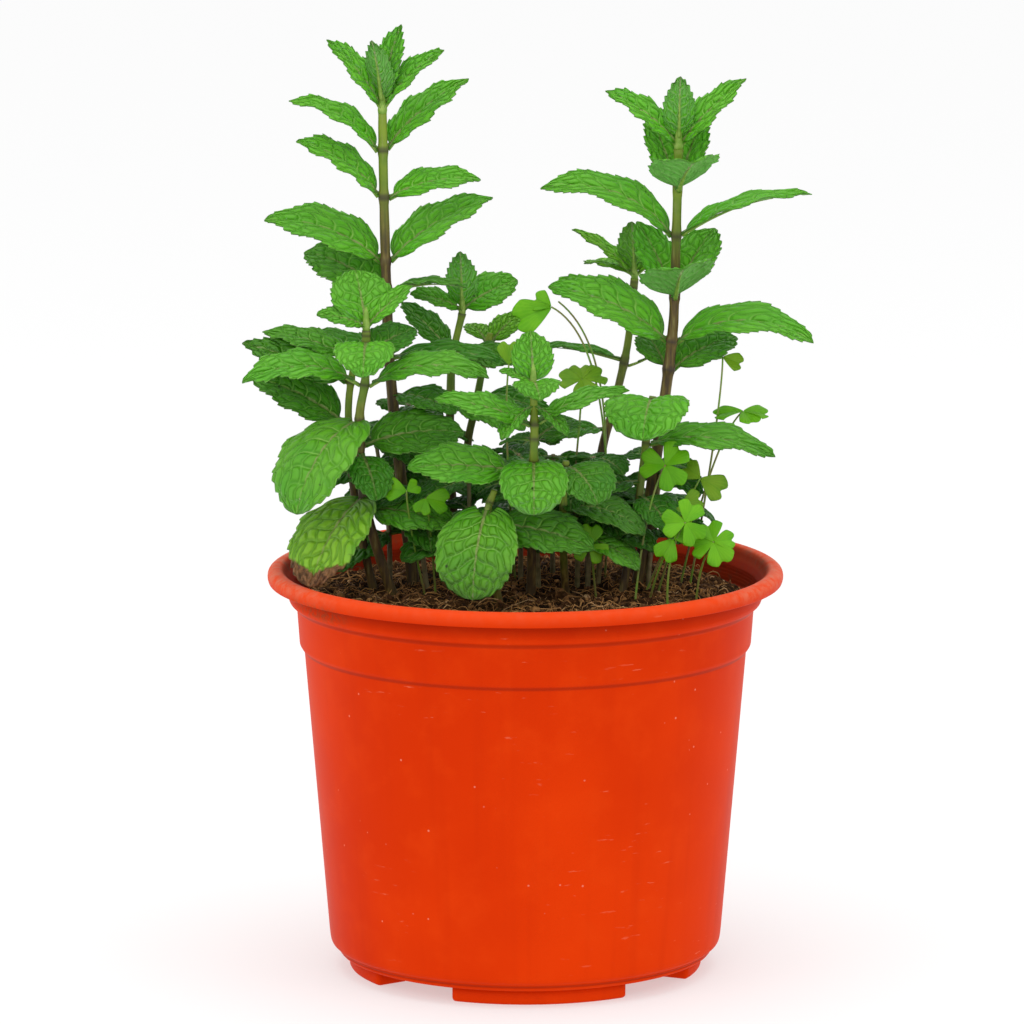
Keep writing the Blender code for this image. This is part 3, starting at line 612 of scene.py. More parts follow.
# leaves of each node: its stem, its tint, then per leaf (height on the stem, heading, rise at the base,
# rise at the tip, stalk, blade length, blade width, roll, turn, fold, fullness)
leaves = {
    "leaves_tall_left_1": ("stem_tall_left", "leaf_dark", (
        (290, 148, 36, 2, 3, 40, 26, -34, 0, 12, 0.3),
        (291, -12, 18, -12, 3, 30, 19, 0, 0, 10, 0.2))),
    "leaves_tall_left_2": ("stem_tall_left", "leaf", (
        (303, 176, 42, -4, 3, 51, 27, -28, 0, 10, 0.35),
        (303, 18, 44, 14, 3, 50, 27, 16, 0, 10, 0.3))),
    "leaves_tall_left_3": ("stem_tall_left", "leaf", (
        (331, 192, 54, 14, 3, 41, 22, -28, 0, 12, 0.35),
        (330, 10, 28, -8, 3, 38, 20, 22, 0, 10, 0.5))),
    "leaves_tall_left_4": ("stem_tall_left", "leaf", (
        (350, 176, 54, 4, 3, 42, 19, -16, 0, 14, 0.2),
        (351, 26, 50, 22, 3, 45, 21, 14, 0, 10, 0.2))),
    "tip_tall_left": ("stem_tall_left", "leaf", (
        (369, 186, 60, 42, 2, 35, 17, -34, 0, 14, 0.2),
        (369, -8, 56, 30, 2, 34, 17, 30, 0, 14, 0.2),
        (372, 246, 76, 62, 1, 27, 13, 0, 0, 14, 0.2),
        (374, 40, 80, 62, 1, 30, 14, 20, 0, 14, 0.2))),
    "leaves_tall_right_1": ("stem_tall_right", "leaf_dark", (
        (257, 32, 34, 4, 3, 32, 24, 20, 0, 8, 0.4),
        (257, 116, 42, 24, 2, 22, 20, 0, 0, 8, 0.4))),
    "leaf_tall_right_low_left": ("stem_tall_right", "leaf", (
        (269, 184, 44, 6, 3, 54, 28, -34, 0, 10, 0.35),)),
    "leaf_tall_right_low_right": ("stem_tall_right", "leaf", (
        (269, -6, 35, -34, 3, 59, 27, 20, 0, 10, 0.4),)),
    "leaves_tall_right_3": ("stem_tall_right", "leaf", (
        (288, -86, 36, 14, 3, 38, 32, 10, 0, 16, 0.6),
        (290, 130, 60, 42, 3, 33, 20, -10, 0, 8, 0.4),
        (290, 48, 58, 34, 3, 32, 24, 10, 0, 8, 0.4))),
    "leaf_tall_right_mid_left": ("stem_tall_right", "leaf", (
        (314, 180, 54, -14, 3, 60, 24, -24, 0, 10, 0.35),)),
    "leaf_tall_right_mid_right": ("stem_tall_right", "leaf", (
        (315, 0, 34, 0, 3, 56, 24, 4, 0, 10, 0.2),)),
    "leaves_tall_right_5": ("stem_tall_right", "leaf", (
        (334, -80, 36, 14, 3, 34, 30, 4, 0, 20, 0.6),
        (336, 128, 66, 50, 3, 31, 17, -10, 0, 8, 0.4),
        (336, 54, 66, 48, 3, 31, 16, 10, 0, 8, 0.4))),
    "tip_tall_right": ("stem_tall_right", "leaf", (
        (352, 184, 52, 22, 2, 37, 18, -30, 0, 12, 0.2),
        (352, 10, 52, 36, 2, 38, 18, 24, 0, 12, 0.2),
        (356, -84, 84, 76, 1, 26, 14, 0, 0, 12, 0.3))),
    "leaves_back_right_1": ("stem_back_right", "leaf_dark", (
        (256, 176, 16, -2, 3, 36, 16, 0, 0, 8, 0.2),
        (254, -8, 18, 34, 8, 15, 14, 0, 0, 8, 0.4))),
    "tip_back_right": ("stem_back_right", "leaf_old", (
        (289, 172, 46, 24, 2, 31, 14, -10, 0, 10, 0.2),
        (290, 255, 84, 72, 2, 22, 15, 0, 0, 10, 0.4),
        (289, 10, 40, 10, 2, 14, 12, 0, 0, 10, 0.4),
        (287, 140, 20, -10, 2, 24, 24, 0, 0, 10, 0.5))),
    "leaves_back_left_1": ("stem_back_left", "leaf_dark", (
        (261, 152, 46, 34, 3, 28, 19, -10, 0, 8, 0.4),
        (260, -18, 6, -10, 3, 27, 20, 24, 0, 6, 0.4))),
    "tip_back_left": ("stem_back_left", "leaf", (
        (278, 196, 28, 8, 2, 22, 15, -26, 0, 10, 0.4),
        (280, 262, 84, 74, 2, 24, 14, 0, 0, 12, 0.3),
        (278, 14, 38, 14, 2, 25, 22, 30, 0, 8, 0.6))),
    "leaves_back_middle": ("stem_back_middle", "leaf_old", (
        (264, 34, 46, 30, 2, 17, 14, 20, 0, 8, 0.4),
        (264, 118, 30, 10, 2, 15, 13, 0, 0, 8, 0.4))),
    "tip_front_left": ("stem_front_left", "leaf", (
        (276, 108, 62, 46, 2, 25, 28, 0, 0, 10, 0.6),
        (278, 196, 26, 4, 2, 20, 15, -24, 0, 8, 0.4),
        (278, 20, 46, 32, 2, 24, 15, 18, 0, 10, 0.3))),
    "leaf_front_left_fore": ("stem_front_left", "leaf", (
        (273, -92, 2, -56, 2, 24, 26, 0, 0, 8, 0.5),)),
    "leaf_front_left_wide": ("stem_front_left", "leaf", (
        (255, 188, 34, -30, 7, 46, 25, -20, 0, 8, 0.4),)),
    "leaf_front_left_inner": ("stem_front_left", "leaf", (
        (255, -10, 34, -24, 5, 49, 24, 18, 0, 8, 0.35),)),
    "leaf_front_left_big": ("stem_front_left", "leaf", (
        (240, 229, -12, -74, 5, 49, 41, 0, 0, 4, 0.9),)),
    "leaf_front_left_back": ("stem_front_left", "leaf_dark", (
        (229, 12, 20, -10, 4, 40, 27, 34, 0, 4, 0.6),)),
    "leaf_front_left_old": ("stem_front_left", "leaf_old", (
        (207, 236, -18, -64, 5, 46, 36, 0, 0, 4, 0.9),)),
    "leaf_front_left_low": ("stem_front_left", "leaf", (
        (201, -12, 4, -20, 2, 35, 28, 26, 0, 6, 0.5),)),
    "leaves_brown_left_1": ("stem_brown_left", "leaf_dark", (
        (264, 164, 26, 2, 3, 38, 20, -14, 0, 8, 0.3),
        (264, 22, 32, 10, 3, 24, 22, 20, 0, 8, 0.5))),
    "leaf_brown_left_mid": ("stem_brown_left", "leaf_dark", (
        (254, 172, 26, 12, 4, 44, 18, -46, 0, 8, 0.3),)),
    "leaf_brown_left_low": ("stem_brown_left", "leaf_dark", (
        (236, 176, 40, 12, 4, 41, 25, -36, 0, 8, 0.4),)),
    "tip_front_middle": ("stem_front_middle", "leaf", (
        (258, 96, 70, 52, 1, 22, 18, 0, 0, 10, 0.5),
        (258, -82, 6, -34, 1, 19, 20, 4, 0, 10, 0.5),
        (258, 186, 30, 10, 1, 14, 10, -16, 0, 8, 0.4))),
    "leaf_front_middle_left": ("stem_front_middle", "leaf", (
        (242, 178, 26, 4, 3, 39, 20, -20, 0, 8, 0.3),)),
    "leaf_front_middle_right": ("stem_front_middle", "leaf", (
        (243, 3, 34, 4, 3, 38, 18, 14, 0, 8, 0.3),)),
    "leaves_front_middle_back": ("stem_front_middle", "leaf_dark", (
        (236, 48, 24, 0, 3, 22, 20, 12, 0, 8, 0.5),
        (236, 140, 0, -30, 2, 15, 13, -10, 0, 8, 0.5))),
    "leaf_front_middle_round": ("stem_front_middle", "leaf", (
        (226.5, -90, -14, -76, 1, 27, 29, 0, 0, 4, 1.0),)),
    "leaf_front_middle_wide": ("stem_front_middle", "leaf", (
        (220, 187, 14, -6, 10, 42, 27, -30, 0, 6, 0.5),)),
    "leaf_hanging_round": ("stem_low_front", "leaf", (
        (209, 252, -34, -86, 8, 37, 36, 0, 0, 4, 1.0),)),
    "leaf_low_front_right": ("stem_low_front", "leaf_dark", (
        (199, -14, 2, -24, 4, 42, 28, 30, 0, 6, 0.4),)),
    "leaf_low_middle_top": ("stem_low_middle", "leaf_dark", (
        (223, -58, 0, -56, 2, 26, 27, 10, 0, 6, 0.8),)),
    "leaves_low_middle_1": ("stem_low_middle", "leaf_dark", (
        (205, -4, 8, -46, 5, 31, 27, 16, 0, 4, 0.9),
        (206, 60, 34, 10, 3, 20, 18, 0, 0, 6, 0.5))),
    "leaf_low_middle_front": ("stem_low_middle", "leaf", (
        (192, -12, 0, -46, 11, 24, 24, 10, 0, 4, 0.9),)),
    "leaf_low_right_round": ("stem_low_right", "leaf", (
        (247, -100, 6, -60, 1, 30, 36, 0, 0, 8, 1.0),)),
    "leaf_low_right_long": ("stem_low_right", "leaf", (
        (228, -5, 16, -26, 4, 51, 26, 16, 0, 8, 0.35),)),
}

stemLook = {"sides": 16, "step": 1.6, "swell": 0.22, "start": 151.0, "fresh": 76.0}


def curvePoint(points, share):
    spans = len(points) - 1
    at = min(share * spans, spans - 1e-6)
    i = int(at)
    t = at - i
    p1, p2 = Vector(points[i]), Vector(points[i + 1])
    p0 = Vector(points[i - 1]) if i else p1 * 2 - p2
    p3 = Vector(points[i + 2]) if i + 2 <= spans else p2 * 2 - p1
    return 0.5 * (2 * p1 + (p2 - p0) * t + (2 * p0 - 5 * p1 + 4 * p2 - p3) * t ** 2
                  + (3 * p1 - p0 - 3 * p2 + p3) * t ** 3)


def curveAlong(points, share, reach=0.01):
    along = curvePoint(points, min(share + reach, 1)) - curvePoint(points, max(share - reach, 0))
    return along.normalized()


def stemAt(points, height):
    low, high = 0.0, 1.0
    for _ in range(40):
        middle = (low + high) / 2
        if curvePoint(points, middle).z < height:
            low = middle
        else:
            high = middle
    return curvePoint(points, low), curveAlong(points, low), low


def stemSkin():
    s = Shader("stemSkin")
    place = s.objectPlace()
    age, corner, joint = s.parts(s.attribute("stemLook"))
    long = s.noise(s.objectPlace((1, 1, 0.12)), 700.0, 3.0)
    patch = s.noise(place, 70.0, 3.0)
    green = s.mix(s.band(patch, 0.35, 0.65), (0.11, 0.2, 0.006), (0.2, 0.29, 0.012))
    brown = s.mix(s.band(long, 0.35, 0.65), (0.05, 0.027, 0.005), (0.14, 0.09, 0.012))
    colour = s.mix(s.band(age + patch * 0.5, 0.5, 1.05), green, brown)
    colour = s.mix(s.band(corner, 0.55, 1.0) * s.band(age, 0.0, 0.4, 0.55, 0.9), colour, (0.075, 0.03, 0.012))
    colour = s.mix(s.band(long, 0.55, 0.75) * 0.4, colour, (0.26, 0.27, 0.09))
    colour = s.mix(joint * 0.8, colour, (0.028, 0.018, 0.008))
    return s.finish({"Base Color": colour, "Roughness": 0.5 + long * 0.15,
                     "Normal": s.bump(long + patch * 0.4, 0.5, 0.0005)})


def buildStems():
    skin = stemSkin()
    for name, (low, high, points) in stems.items():
        bm = bmesh.new()
        look = bm.verts.layers.float_vector.new("stemLook")
        joints = [leaf[0] for node in leaves.values() if node[0] == name for leaf in node[2]]
        _, _, begin = stemAt(points, stemLook["start"])
        length = points[-1][2] - points[0][2]
        count = int(length * (1 - begin) / stemLook["step"])
        places, notes = [], []
        for k in range(count + 1):
            share = begin + (1 - begin) * k / count
            centre = curvePoint(points, share)
            along = curveAlong(points, share)
            near = min([abs(centre.z - j) for j in joints] or [99])
            swell = stemLook["swell"] * math.exp(-(near / 1.8) ** 2)
            wander = noise.noise(Vector((centre.x, centre.y, centre.z)) / 9) * 0.06
            places.append(ringPlace(centre, along, (low + (high - low) * share) * (1 + swell + wander)))
            ageing = min(1.0, max(0.0, (points[-1][2] - centre.z) / stemLook["fresh"]))
            notes.append((ageing, math.exp(-(near / 0.8) ** 2)))
        shape = bm.verts.layers.float_vector.new("ring")
        made = sweep(bm, places, stemLook["sides"])
        for index, vert in enumerate(made):
            ring = Vector(vert[shape])
            angle = math.atan2(ring.y, ring.x)
            across = (abs(math.cos(angle)) ** 3.4 + abs(math.sin(angle)) ** 3.4) ** (-1 / 3.4)
            step = index // stemLook["sides"]
            vert.co = places[step] @ (ring * across * 0.97)
            vert[look] = (notes[step][0], (across - 1) / 0.21, notes[step][1])
        addPiece(bm, name.replace("stem_", "stalk_"), [skin], [name])


buildStems()
print("stems built")


# ---- mint leaves

leafLook = {"rows": 76, "columns": 32, "thick": 0.34, "groove": 0.25, "dome": 0.75, "tooth": 1.35,
            "wave": 0.9, "clasp": 1.3, "heart": 0.16, "seed": 11, "rotting": "leaf_front_left_old",
            "ageing": ("leaf_front_left_old", "leaf_front_left_big", "leaf_hanging_round"),
            "smallRows": 48, "smallColumns": 24, "large": 26, "claspLength": 3.2, "ribRings": 15,
            "ribReach": 0.72, "largeStalk": 1.05, "smallStalk": 0.8}

tints = {  # tone, olive, brown
    "leaf": (0.8, 0.12, 0.0), "leaf_dark": (0.34, 0.05, 0.0), "leaf_old": (0.8, 0.5, 0.0),
    # the darkest tint is painted shade, a darker copy of the leaf colour for leaves low down between the
    # stems
    "leaf_painted_shade": (0.16, 0.06, 0.0),
}


def halfWidth(share, fullness):
    widest = 0.38 + 0.08 * fullness
    if share < widest:
        return math.sqrt(max(0.0, 1 - (1 - share / widest) ** 2)) ** 0.9
    rest = (share - widest) / (1 - widest)
    return max(0.0, 1 - rest ** 2) ** (0.95 - 0.42 * fullness)


def towards(yaw, pitch):
    return Vector((math.cos(pitch) * math.cos(yaw), math.cos(pitch) * math.sin(yaw), math.sin(pitch)))


def leafPath(base, leaf, steps=120):
    # centre, direction, left and up at even steps from the stem to the tip
    height, heading, rise, tipRise, stalk, length, width, roll, turn, fold, fullness = leaf
    total = stalk + length
    here = Vector(base)
    spin = math.radians(roll)
    path = []
    for k in range(steps + 1):
        share = k / steps
        pitch = math.radians(rise + (tipRise - rise) * share)
        yaw = math.radians(heading + turn * share)
        along = towards(yaw, pitch)
        left = Vector((-math.sin(yaw), math.cos(yaw), 0))
        up = along.cross(left)
        left, up = left * math.cos(spin) + up * math.sin(spin), up * math.cos(spin) - left * math.sin(spin)
        path.append((here.copy(), along, left, up))
        pitch = math.radians(rise + (tipRise - rise) * (share + 0.5 / steps))
        yaw = math.radians(heading + turn * (share + 0.5 / steps))
        here += towards(yaw, pitch) * total / steps
    return path


def onPath(path, share):
    at = min(max(share, 0), 1) * (len(path) - 1)
    i = min(int(at), len(path) - 2)
    t = at - i
    return [path[i][k].lerp(path[i + 1][k], t) for k in range(4)]


def veinPlace(along, across, pairs, cells, seed):
    # how far a point lies from its nearest side vein and cross vein, from 0 on the vein to 0.5 between two
    side = 1 if across > 0 else 0
    out = abs(across)
    sway = 0.035 * math.sin(along * 13 + seed) * out + 0.025 * math.sin(out * 8 + seed * 3 + side * 2)
    q = (along - 0.2 * out - 0.12 * out ** 3 + sway + side * 0.03 + 0.06) * pairs
    band = math.floor(q)
    f = q - band
    start = math.sin(band * 3.7 + side * 1.9 + seed) * 7.31
    g = out * cells + start + 0.22 * math.sin(along * 21 + seed + side)
    h = g - math.floor(g)
    return min(f, 1 - f), min(h, 1 - h)


def smooth(value, low, high):
    t = min(1.0, max(0.0, (value - low) / (high - low)))
    return t * t * (3 - 2 * t)


def leafGreen():
    s = Shader("mintLeaf")
    along, across, seed = s.parts(s.attribute("leafMap"))
    fromRib, _, under = s.parts(s.attribute("leafSize"))
    tone, olive, brown = s.parts(s.attribute("leafTone"))
    pairs, cells, pale = s.parts(s.attribute("leafVeins"))
    place = s.objectPlace()
    out = abs(across)
    side = across > 0
    sway = (along * 13.0 + seed).sum("SINE") * 0.035 * out
    sway = sway + (out * 8.0 + seed * 3.0 + side * 2.0).sum("SINE") * 0.025
    q = (along - out * 0.2 - out ** 3.0 * 0.12 + sway + side * 0.03 + 0.06) * pairs
    band = q.sum("FLOOR")
    f = q - band
    start = (band * 3.7 + side * 1.9 + seed).sum("SINE") * 7.31
    g = out * cells + start + (along * 21.0 + seed + side).sum("SINE") * 0.22
    h = g.sum("FRACT")
    sideVein = f.sum("MINIMUM", 1 - f)
    crossVein = h.sum("MINIMUM", 1 - h)
    wobble = s.noise(place, 500.0, 3.0)
    sideLine = s.band(sideVein, 0.075, 0.02) * s.band(out, 1.0, 0.75)
    crossLine = s.band(crossVein, 0.11, 0.03)
    rib = s.band(fromRib, 0.75, 0.3) * s.band(along, 1.0, 0.2)
    ribWide = s.band(fromRib - (1 - along) * 0.45, 0.35, 0.1)
    dome = s.band(sideVein, 0.0, 0.24) * s.band(crossVein, 0.0, 0.24)
    patch = s.noise(place, 45.0, 3.0)
    fine = s.noise(place, 1500.0, 3.0, 0.6)
    # upper side: more saturated near the stalk, greyer towards the tip as a painted sheen, and painted shade
    # in the furrows
    near = s.mix(tone, (0.014, 0.15, 0.001), (0.105, 0.54, 0.001))
    far = s.mix(tone, (0.016, 0.135, 0.003), (0.12, 0.5, 0.022))
    # painted sheen: the colour turns greyer towards the tip
    top = s.mix(s.band(along, 0.05, 0.6), near, far)
    top = s.mix(s.band(patch, 0.35, 0.7) * 0.35, top, s.mix(tone, (0.035, 0.21, 0.008), (0.2, 0.64, 0.04)))
    # painted shade: darker in the furrows between the domes
    top = s.mix((1 - dome) * 0.24, top, s.mix(tone, (0.008, 0.08, 0.001), (0.045, 0.3, 0.003)))
    # the olive colour is darker in the furrows and lighter on the domes, painted shade
    yellowed = s.mix(dome, (0.16, 0.38, 0.008), (0.27, 0.56, 0.03))
    top = s.mix(olive * s.band(patch, 0.1, 0.6), top, yellowed)
    top = s.mix(sideLine * s.band(along, 0.95, 0.1) * s.band(out, 1.0, 0.1) * 0.8, top, (0.34, 0.62, 0.12))
    top = s.mix(crossLine * 0.3, top, (0.24, 0.55, 0.07))
    ribColour = s.mix(pale, (0.16, 0.36, 0.05), (0.46, 0.46, 0.19))
    top = s.mix(ribWide * s.band(along, 0.9, 0.15, 0.35, 0.95), top, ribColour)
    rim = s.band(out, 0.955, 0.995)
    top = s.mix(rim * 0.4, top, (0.3, 0.52, 0.12))
    # paler under side with raised veins
    below = s.mix(tone, (0.07, 0.25, 0.035), (0.2, 0.56, 0.11))
    below = s.mix(olive * 0.7, below, (0.2, 0.36, 0.03))
    below = s.mix(sideLine * 0.6 + crossLine * 0.25, below, (0.3, 0.45, 0.18))
    below = s.mix(ribWide, below, (0.42, 0.5, 0.24))
    colour = s.mix(under, top, below)
    # dark specks and the rotted end of an old leaf
    speck = s.band(s.cells(place, 130.0), 0.11, 0.06) * s.band(s.noise(place, 60.0, 1.0), 0.6, 0.63)
    colour = s.mix(speck * 0.8, colour, (0.02, 0.02, 0.008))
    rot = s.band(brown + wobble * 0.35 + patch * 0.25 - 0.3, 0.42, 0.55)
    colour = s.mix(rot, colour, s.mix(s.band(wobble, 0.35, 0.65), (0.09, 0.032, 0.012), (0.30, 0.14, 0.055)))
    rough = 0.4 + wobble * 0.12 + under * 0.14 + rot * 0.2 - dome * 0.05
    height = dome * 0.8 - rib * 0.3 + fine * 0.08 + wobble * 0.14
    height = height * (1 - under * 1.6)
    through = s.mix(0.5, colour, (0.28, 0.85, 0.004))
    return s.finish({"Base Color": colour, "Roughness": rough, "Specular IOR Level": 0.36,
                     "Normal": s.bump(height, 0.8, 0.0011)}, through, 0.25)


def leafStalkSkin():
    s = Shader("leafStalk")
    age = s.attribute("stalkAge", "Fac")
    fleck = s.noise(s.objectPlace(), 400.0, 3.0)
    colour = s.mix(s.band(fleck, 0.35, 0.7), (0.17, 0.33, 0.03), (0.3, 0.44, 0.08))
    colour = s.mix(age, colour, s.mix(fleck, (0.10, 0.045, 0.03), (0.30, 0.2, 0.12)))
    return s.finish({"Base Color": colour, "Roughness": 0.55, "Normal": s.bump(fleck, 0.3, 0.0003)})


def growLeaf(bm, base, leaf, tint, seed, layers, old=0.0, rotted=0.0):
    height, heading, rise, tipRise, stalk, length, width, roll, turn, fold, fullness = leaf
    pick = random.Random(seed)
    path = leafPath(base, leaf)
    total = stalk + length
    big = min(1.0, length / 45)
    pairs = 5.2 + 1.6 * big + pick.uniform(-0.3, 0.4)
    cells = 2.3 + 1.5 * min(1.0, width / 30)
    phase = pick.uniform(0, 6)
    teeth = round(4 + length / 5.2)
    toothSize = leafLook["tooth"] * (0.5 + 0.5 * big) * (1 - 0.35 * fullness)
    waves = pick.uniform(2.2, 3.4)
    # lighter high up on the plant, darker low down
    tone = tints[tint][0] + pick.uniform(-0.14, 0.14)
    tone = tone + 0.2 * smooth(height, 250, 340) - 0.16 * smooth(height, 255, 200)
    tone = min(1.0, max(0.0, tone))
    large = length > leafLook["large"]
    rows = leafLook["rows"] if large else leafLook["smallRows"]
    columns = leafLook["columns"] if large else leafLook["smallColumns"]
    clasp = min(stalk, leafLook["claspLength"]) / length
    heart = leafLook["heart"] * length * smooth(fullness, 0.7, 1.0)
    grid = bmesh.ops.create_grid(bm, x_segments=rows, y_segments=columns, size=1)["verts"]
    for vert in grid:
        along, across = (vert.co.x + 1) / 2 * (1 + clasp) - clasp, vert.co.y
        centre, ahead, left, up = onPath(path, (stalk + along * length) / total)
        out = abs(across)
        blade = max(0.0, along)
        neck = leafLook["clasp"] * (0.6 + 0.4 * big)
        neck *= (1 + 0.5 * smooth(along, 0.0, -clasp)) * (1 - smooth(along, 0.0, 0.3))
        half = max(0.2, neck, width / 2 * halfWidth(blade, fullness))
        # teeth point forwards and fade at the base and the tip
        beat = blade * teeth + (0.4 if across > 0 else 0.0)
        beat -= math.floor(beat)
        saw = beat / 0.8 if beat < 0.8 else (1 - beat) / 0.2
        fade = smooth(blade, 0.08, 0.2) * smooth(blade, 1.0, 0.93)
        edge = toothSize * fade * out ** 7
        reach = half * out + (saw - 0.6) * edge
        lift = math.sin(math.radians(fold)) * half * out + 0.08 * half * math.sin(math.pi * min(1, out * 1.1))
        ripple = math.sin(blade * waves * math.tau + phase + (1.5 if across > 0 else 0))
        lift += leafLook["wave"] * big * ripple * out ** 3 * fade
        nearSide, nearCross = veinPlace(blade, across, pairs, cells, phase)
        dome = smooth(nearSide, 0.0, 0.28) * smooth(nearCross, 0.0, 0.28)
        rest = smooth(blade, 0.0, 0.12) * smooth(blade, 1.02, 0.86) * smooth(out, 1.08, 0.8)
        rest *= 0.45 + 0.55 * big
        relief = leafLook["dome"] * dome - leafLook["groove"] * (1 - smooth(nearSide, 0.0, 0.12)) * 0.6
        relief -= 0.5 * math.exp(-(out * half / 0.8) ** 2) * (1 - blade * 0.7)
        vert.co = centre + left * (reach if across > 0 else -reach) + up * (lift + relief * rest) \
            + ahead * ((saw - 0.5) * edge * 0.9 - heart * out ** 2 * (1 - blade) ** 4 * (along > 0))
        vert[layers["leafMap"]] = (blade, across, phase)
        vert[layers["leafSize"]] = (out * half, blade * length, 0)
        rotting = rotted * smooth(blade + out * 0.12, 0.7, 1.06)
        vert[layers["leafTone"]] = (tone, min(1, tints[tint][1] + old), rotting)
        vert[layers["leafVeins"]] = (pairs, cells, 0.55 + 0.4 * old)
    faces = list({f for v in grid for f in v.link_faces})
    known = set(grid)
    shell = bmesh.ops.solidify(bm, geom=faces, thickness=leafLook["thick"])["geom"]
    for vert in shell:
        if isinstance(vert, bmesh.types.BMVert) and vert not in known:
            along, across, _ = vert[layers["leafMap"]]
            size = vert[layers["leafSize"]]
            vert[layers["leafSize"]] = (size[0], size[1], 1)
    # stalk, running on as a tapering rib below the blade
    places = []
    rings, ribReach = leafLook["ribRings"], leafLook["ribReach"]
    thick = leafLook["largeStalk"] if large else leafLook["smallStalk"]
    for k in range(rings):
        share = k / (rings - 1) * ribReach
        centre, ahead, left, up = onPath(path, max(0.0, share))
        blade = max(0.0, (share * total - stalk) / length)
        radius = thick * (1 - 0.8 * smooth(share, 0.0, ribReach))
        sink = leafLook["thick"] + radius * 0.4
        places.append(ringPlace(centre - up * sink, ahead, radius, up, 0.8))
    for vert in sweep(bm, places, 8):
        vert[layers["stalkAge"]] = old
        for face in vert.link_faces:
            face.material_index = 1


def leafBase(name, leaf):
    stem = leaves[name][0]
    low, high, points = stems[stem]
    many = len(leaves[name][2]) > 1
    centre, along, share = stemAt(points, min(leaf[0], points[-1][2] - 0.01))
    heading = math.radians(leaf[1])
    out = Vector((math.cos(heading), math.sin(heading), 0))
    out = (out - along * out.dot(along)).normalized()
    if name.startswith("tip_"):
        return Vector(points[-1]) + Vector((0, 0, max(1.9, leaf[0] - points[-1][2]))) + out * 0.4
    lean = abs(math.sin(math.radians(leaf[2]))) * 0.72
    return centre + out * ((low + (high - low) * share) * 0.8 + (0.3 if many else lean * 0.5))


def leafLayers(bm):
    names = ("leafMap", "leafSize", "leafTone", "leafVeins")
    made = {name: bm.verts.layers.float_vector.new(name) for name in names}
    made["stalkAge"] = bm.verts.layers.float.new("stalkAge")
    bm.verts.layers.float_vector.new("ring")
    return made


def buildLeaves():
    green, stalkSkin = leafGreen(), leafStalkSkin()
    for number, (name, (stem, tint, group)) in enumerate(leaves.items()):
        bm = bmesh.new()
        layers = leafLayers(bm)
        for index, leaf in enumerate(group):
            old = 0.5 if name in leafLook["ageing"] else 0.1
            growLeaf(bm, leafBase(name, leaf), leaf, tint, leafLook["seed"] + number * 7 + index, layers,
                     old if tint != "leaf" else old * 0.35, 1.0 if name == leafLook["rotting"] else 0.0)
        if name.startswith("tip_"):
            low, high, points = stems[stem]
            start = Vector(points[-1])
            heights = ((-0.6, high * 0.95), (1.5, high * 1.12), (4, high * 0.95), (7, high * 0.7), (10, 0.3))
            up = Vector((0, 0, 1))
            for vert in sweep(bm, [ringPlace(start + up * z, up, r) for z, r in heights], 10):
                for face in vert.link_faces:
                    face.material_index = 1
        addPiece(bm, name.replace("leaves_", "foliage_").replace("leaf_", "blade_").replace("tip_", "shoot_"),
                 [green, stalkSkin], [name])


buildLeaves()
print("leaves built")


# ---- growth low down between the stems, only there to be seen: each shoot is its foot (x, y) and its top

undergrowth = {"seed": 8, "longest": 31.0, "gap": 13.0, "thick": 1.3, "shoots": (
    (-40, -6, -44, -8, 208), (-22, -10, -24, -14, 214), (-2, 8, -3, 8, 221), (12, 26, 12, 30, 217),
    (26, -4, 29, -6, 222), (52, 4, 58, 6, 214), (-46, 28, -50, 34, 238), (50, 34, 56, 40, 214),
    (2, 48, 4, 56, 220), (6, -4, 4, -18, 208), (30, 2, 38, -18, 204), (22, -2, 20, -14, 212),
    (-58, 10, -64, 14, 226))}

# leaves added to the stems above: stem, tint, leaf
extraLeaves = (
    ("stem_tall_left", "leaf_dark", (262, -14, 15, -18, 3, 48, 21, 12, 0, 8, 0.3)),
    ("stem_tall_left", "leaf_dark", (262, 164, 20, 0, 3, 38, 22, -12, 0, 8, 0.4)),
    ("stem_tall_left", "leaf_dark", (246, -34, 5, -25, 3, 29, 23, 12, 0, 8, 0.5)),
    ("stem_front_left", "leaf_dark", (267, 34, 38, 6, 2, 24, 20, 22, 0, 8, 0.5)),
    ("stem_front_left", "leaf_dark", (226, -70, -20, -60, 3, 24, 20, 0, 0, 6, 0.7)),
    ("stem_back_left", "leaf", (240, -30, 0, -30, 3, 34, 26, 16, 0, 6, 0.6)),
    ("stem_back_middle", "leaf_dark", (240, -24, 6, -24, 3, 30, 22, 18, 0, 6, 0.5)),
    ("stem_front_middle", "leaf", (250, 214, -24, -58, 2, 18, 15, 0, 0, 8, 0.5)),
    ("stem_front_middle", "leaf", (250, -30, -24, -52, 2, 17, 13, 0, 0, 8, 0.5)),
    ("stem_low_right", "leaf_dark", (212, 200, 4, -36, 3, 26, 20, -14, 0, 8, 0.5)),
    ("stem_low_right", "leaf_dark", (206, -60, -6, -50, 3, 24, 20, 8, 0, 8, 0.6)),
    ("stem_back_right", "leaf_dark", (226, 206, 10, -24, 3, 26, 18, -12, 0, 8, 0.5)))


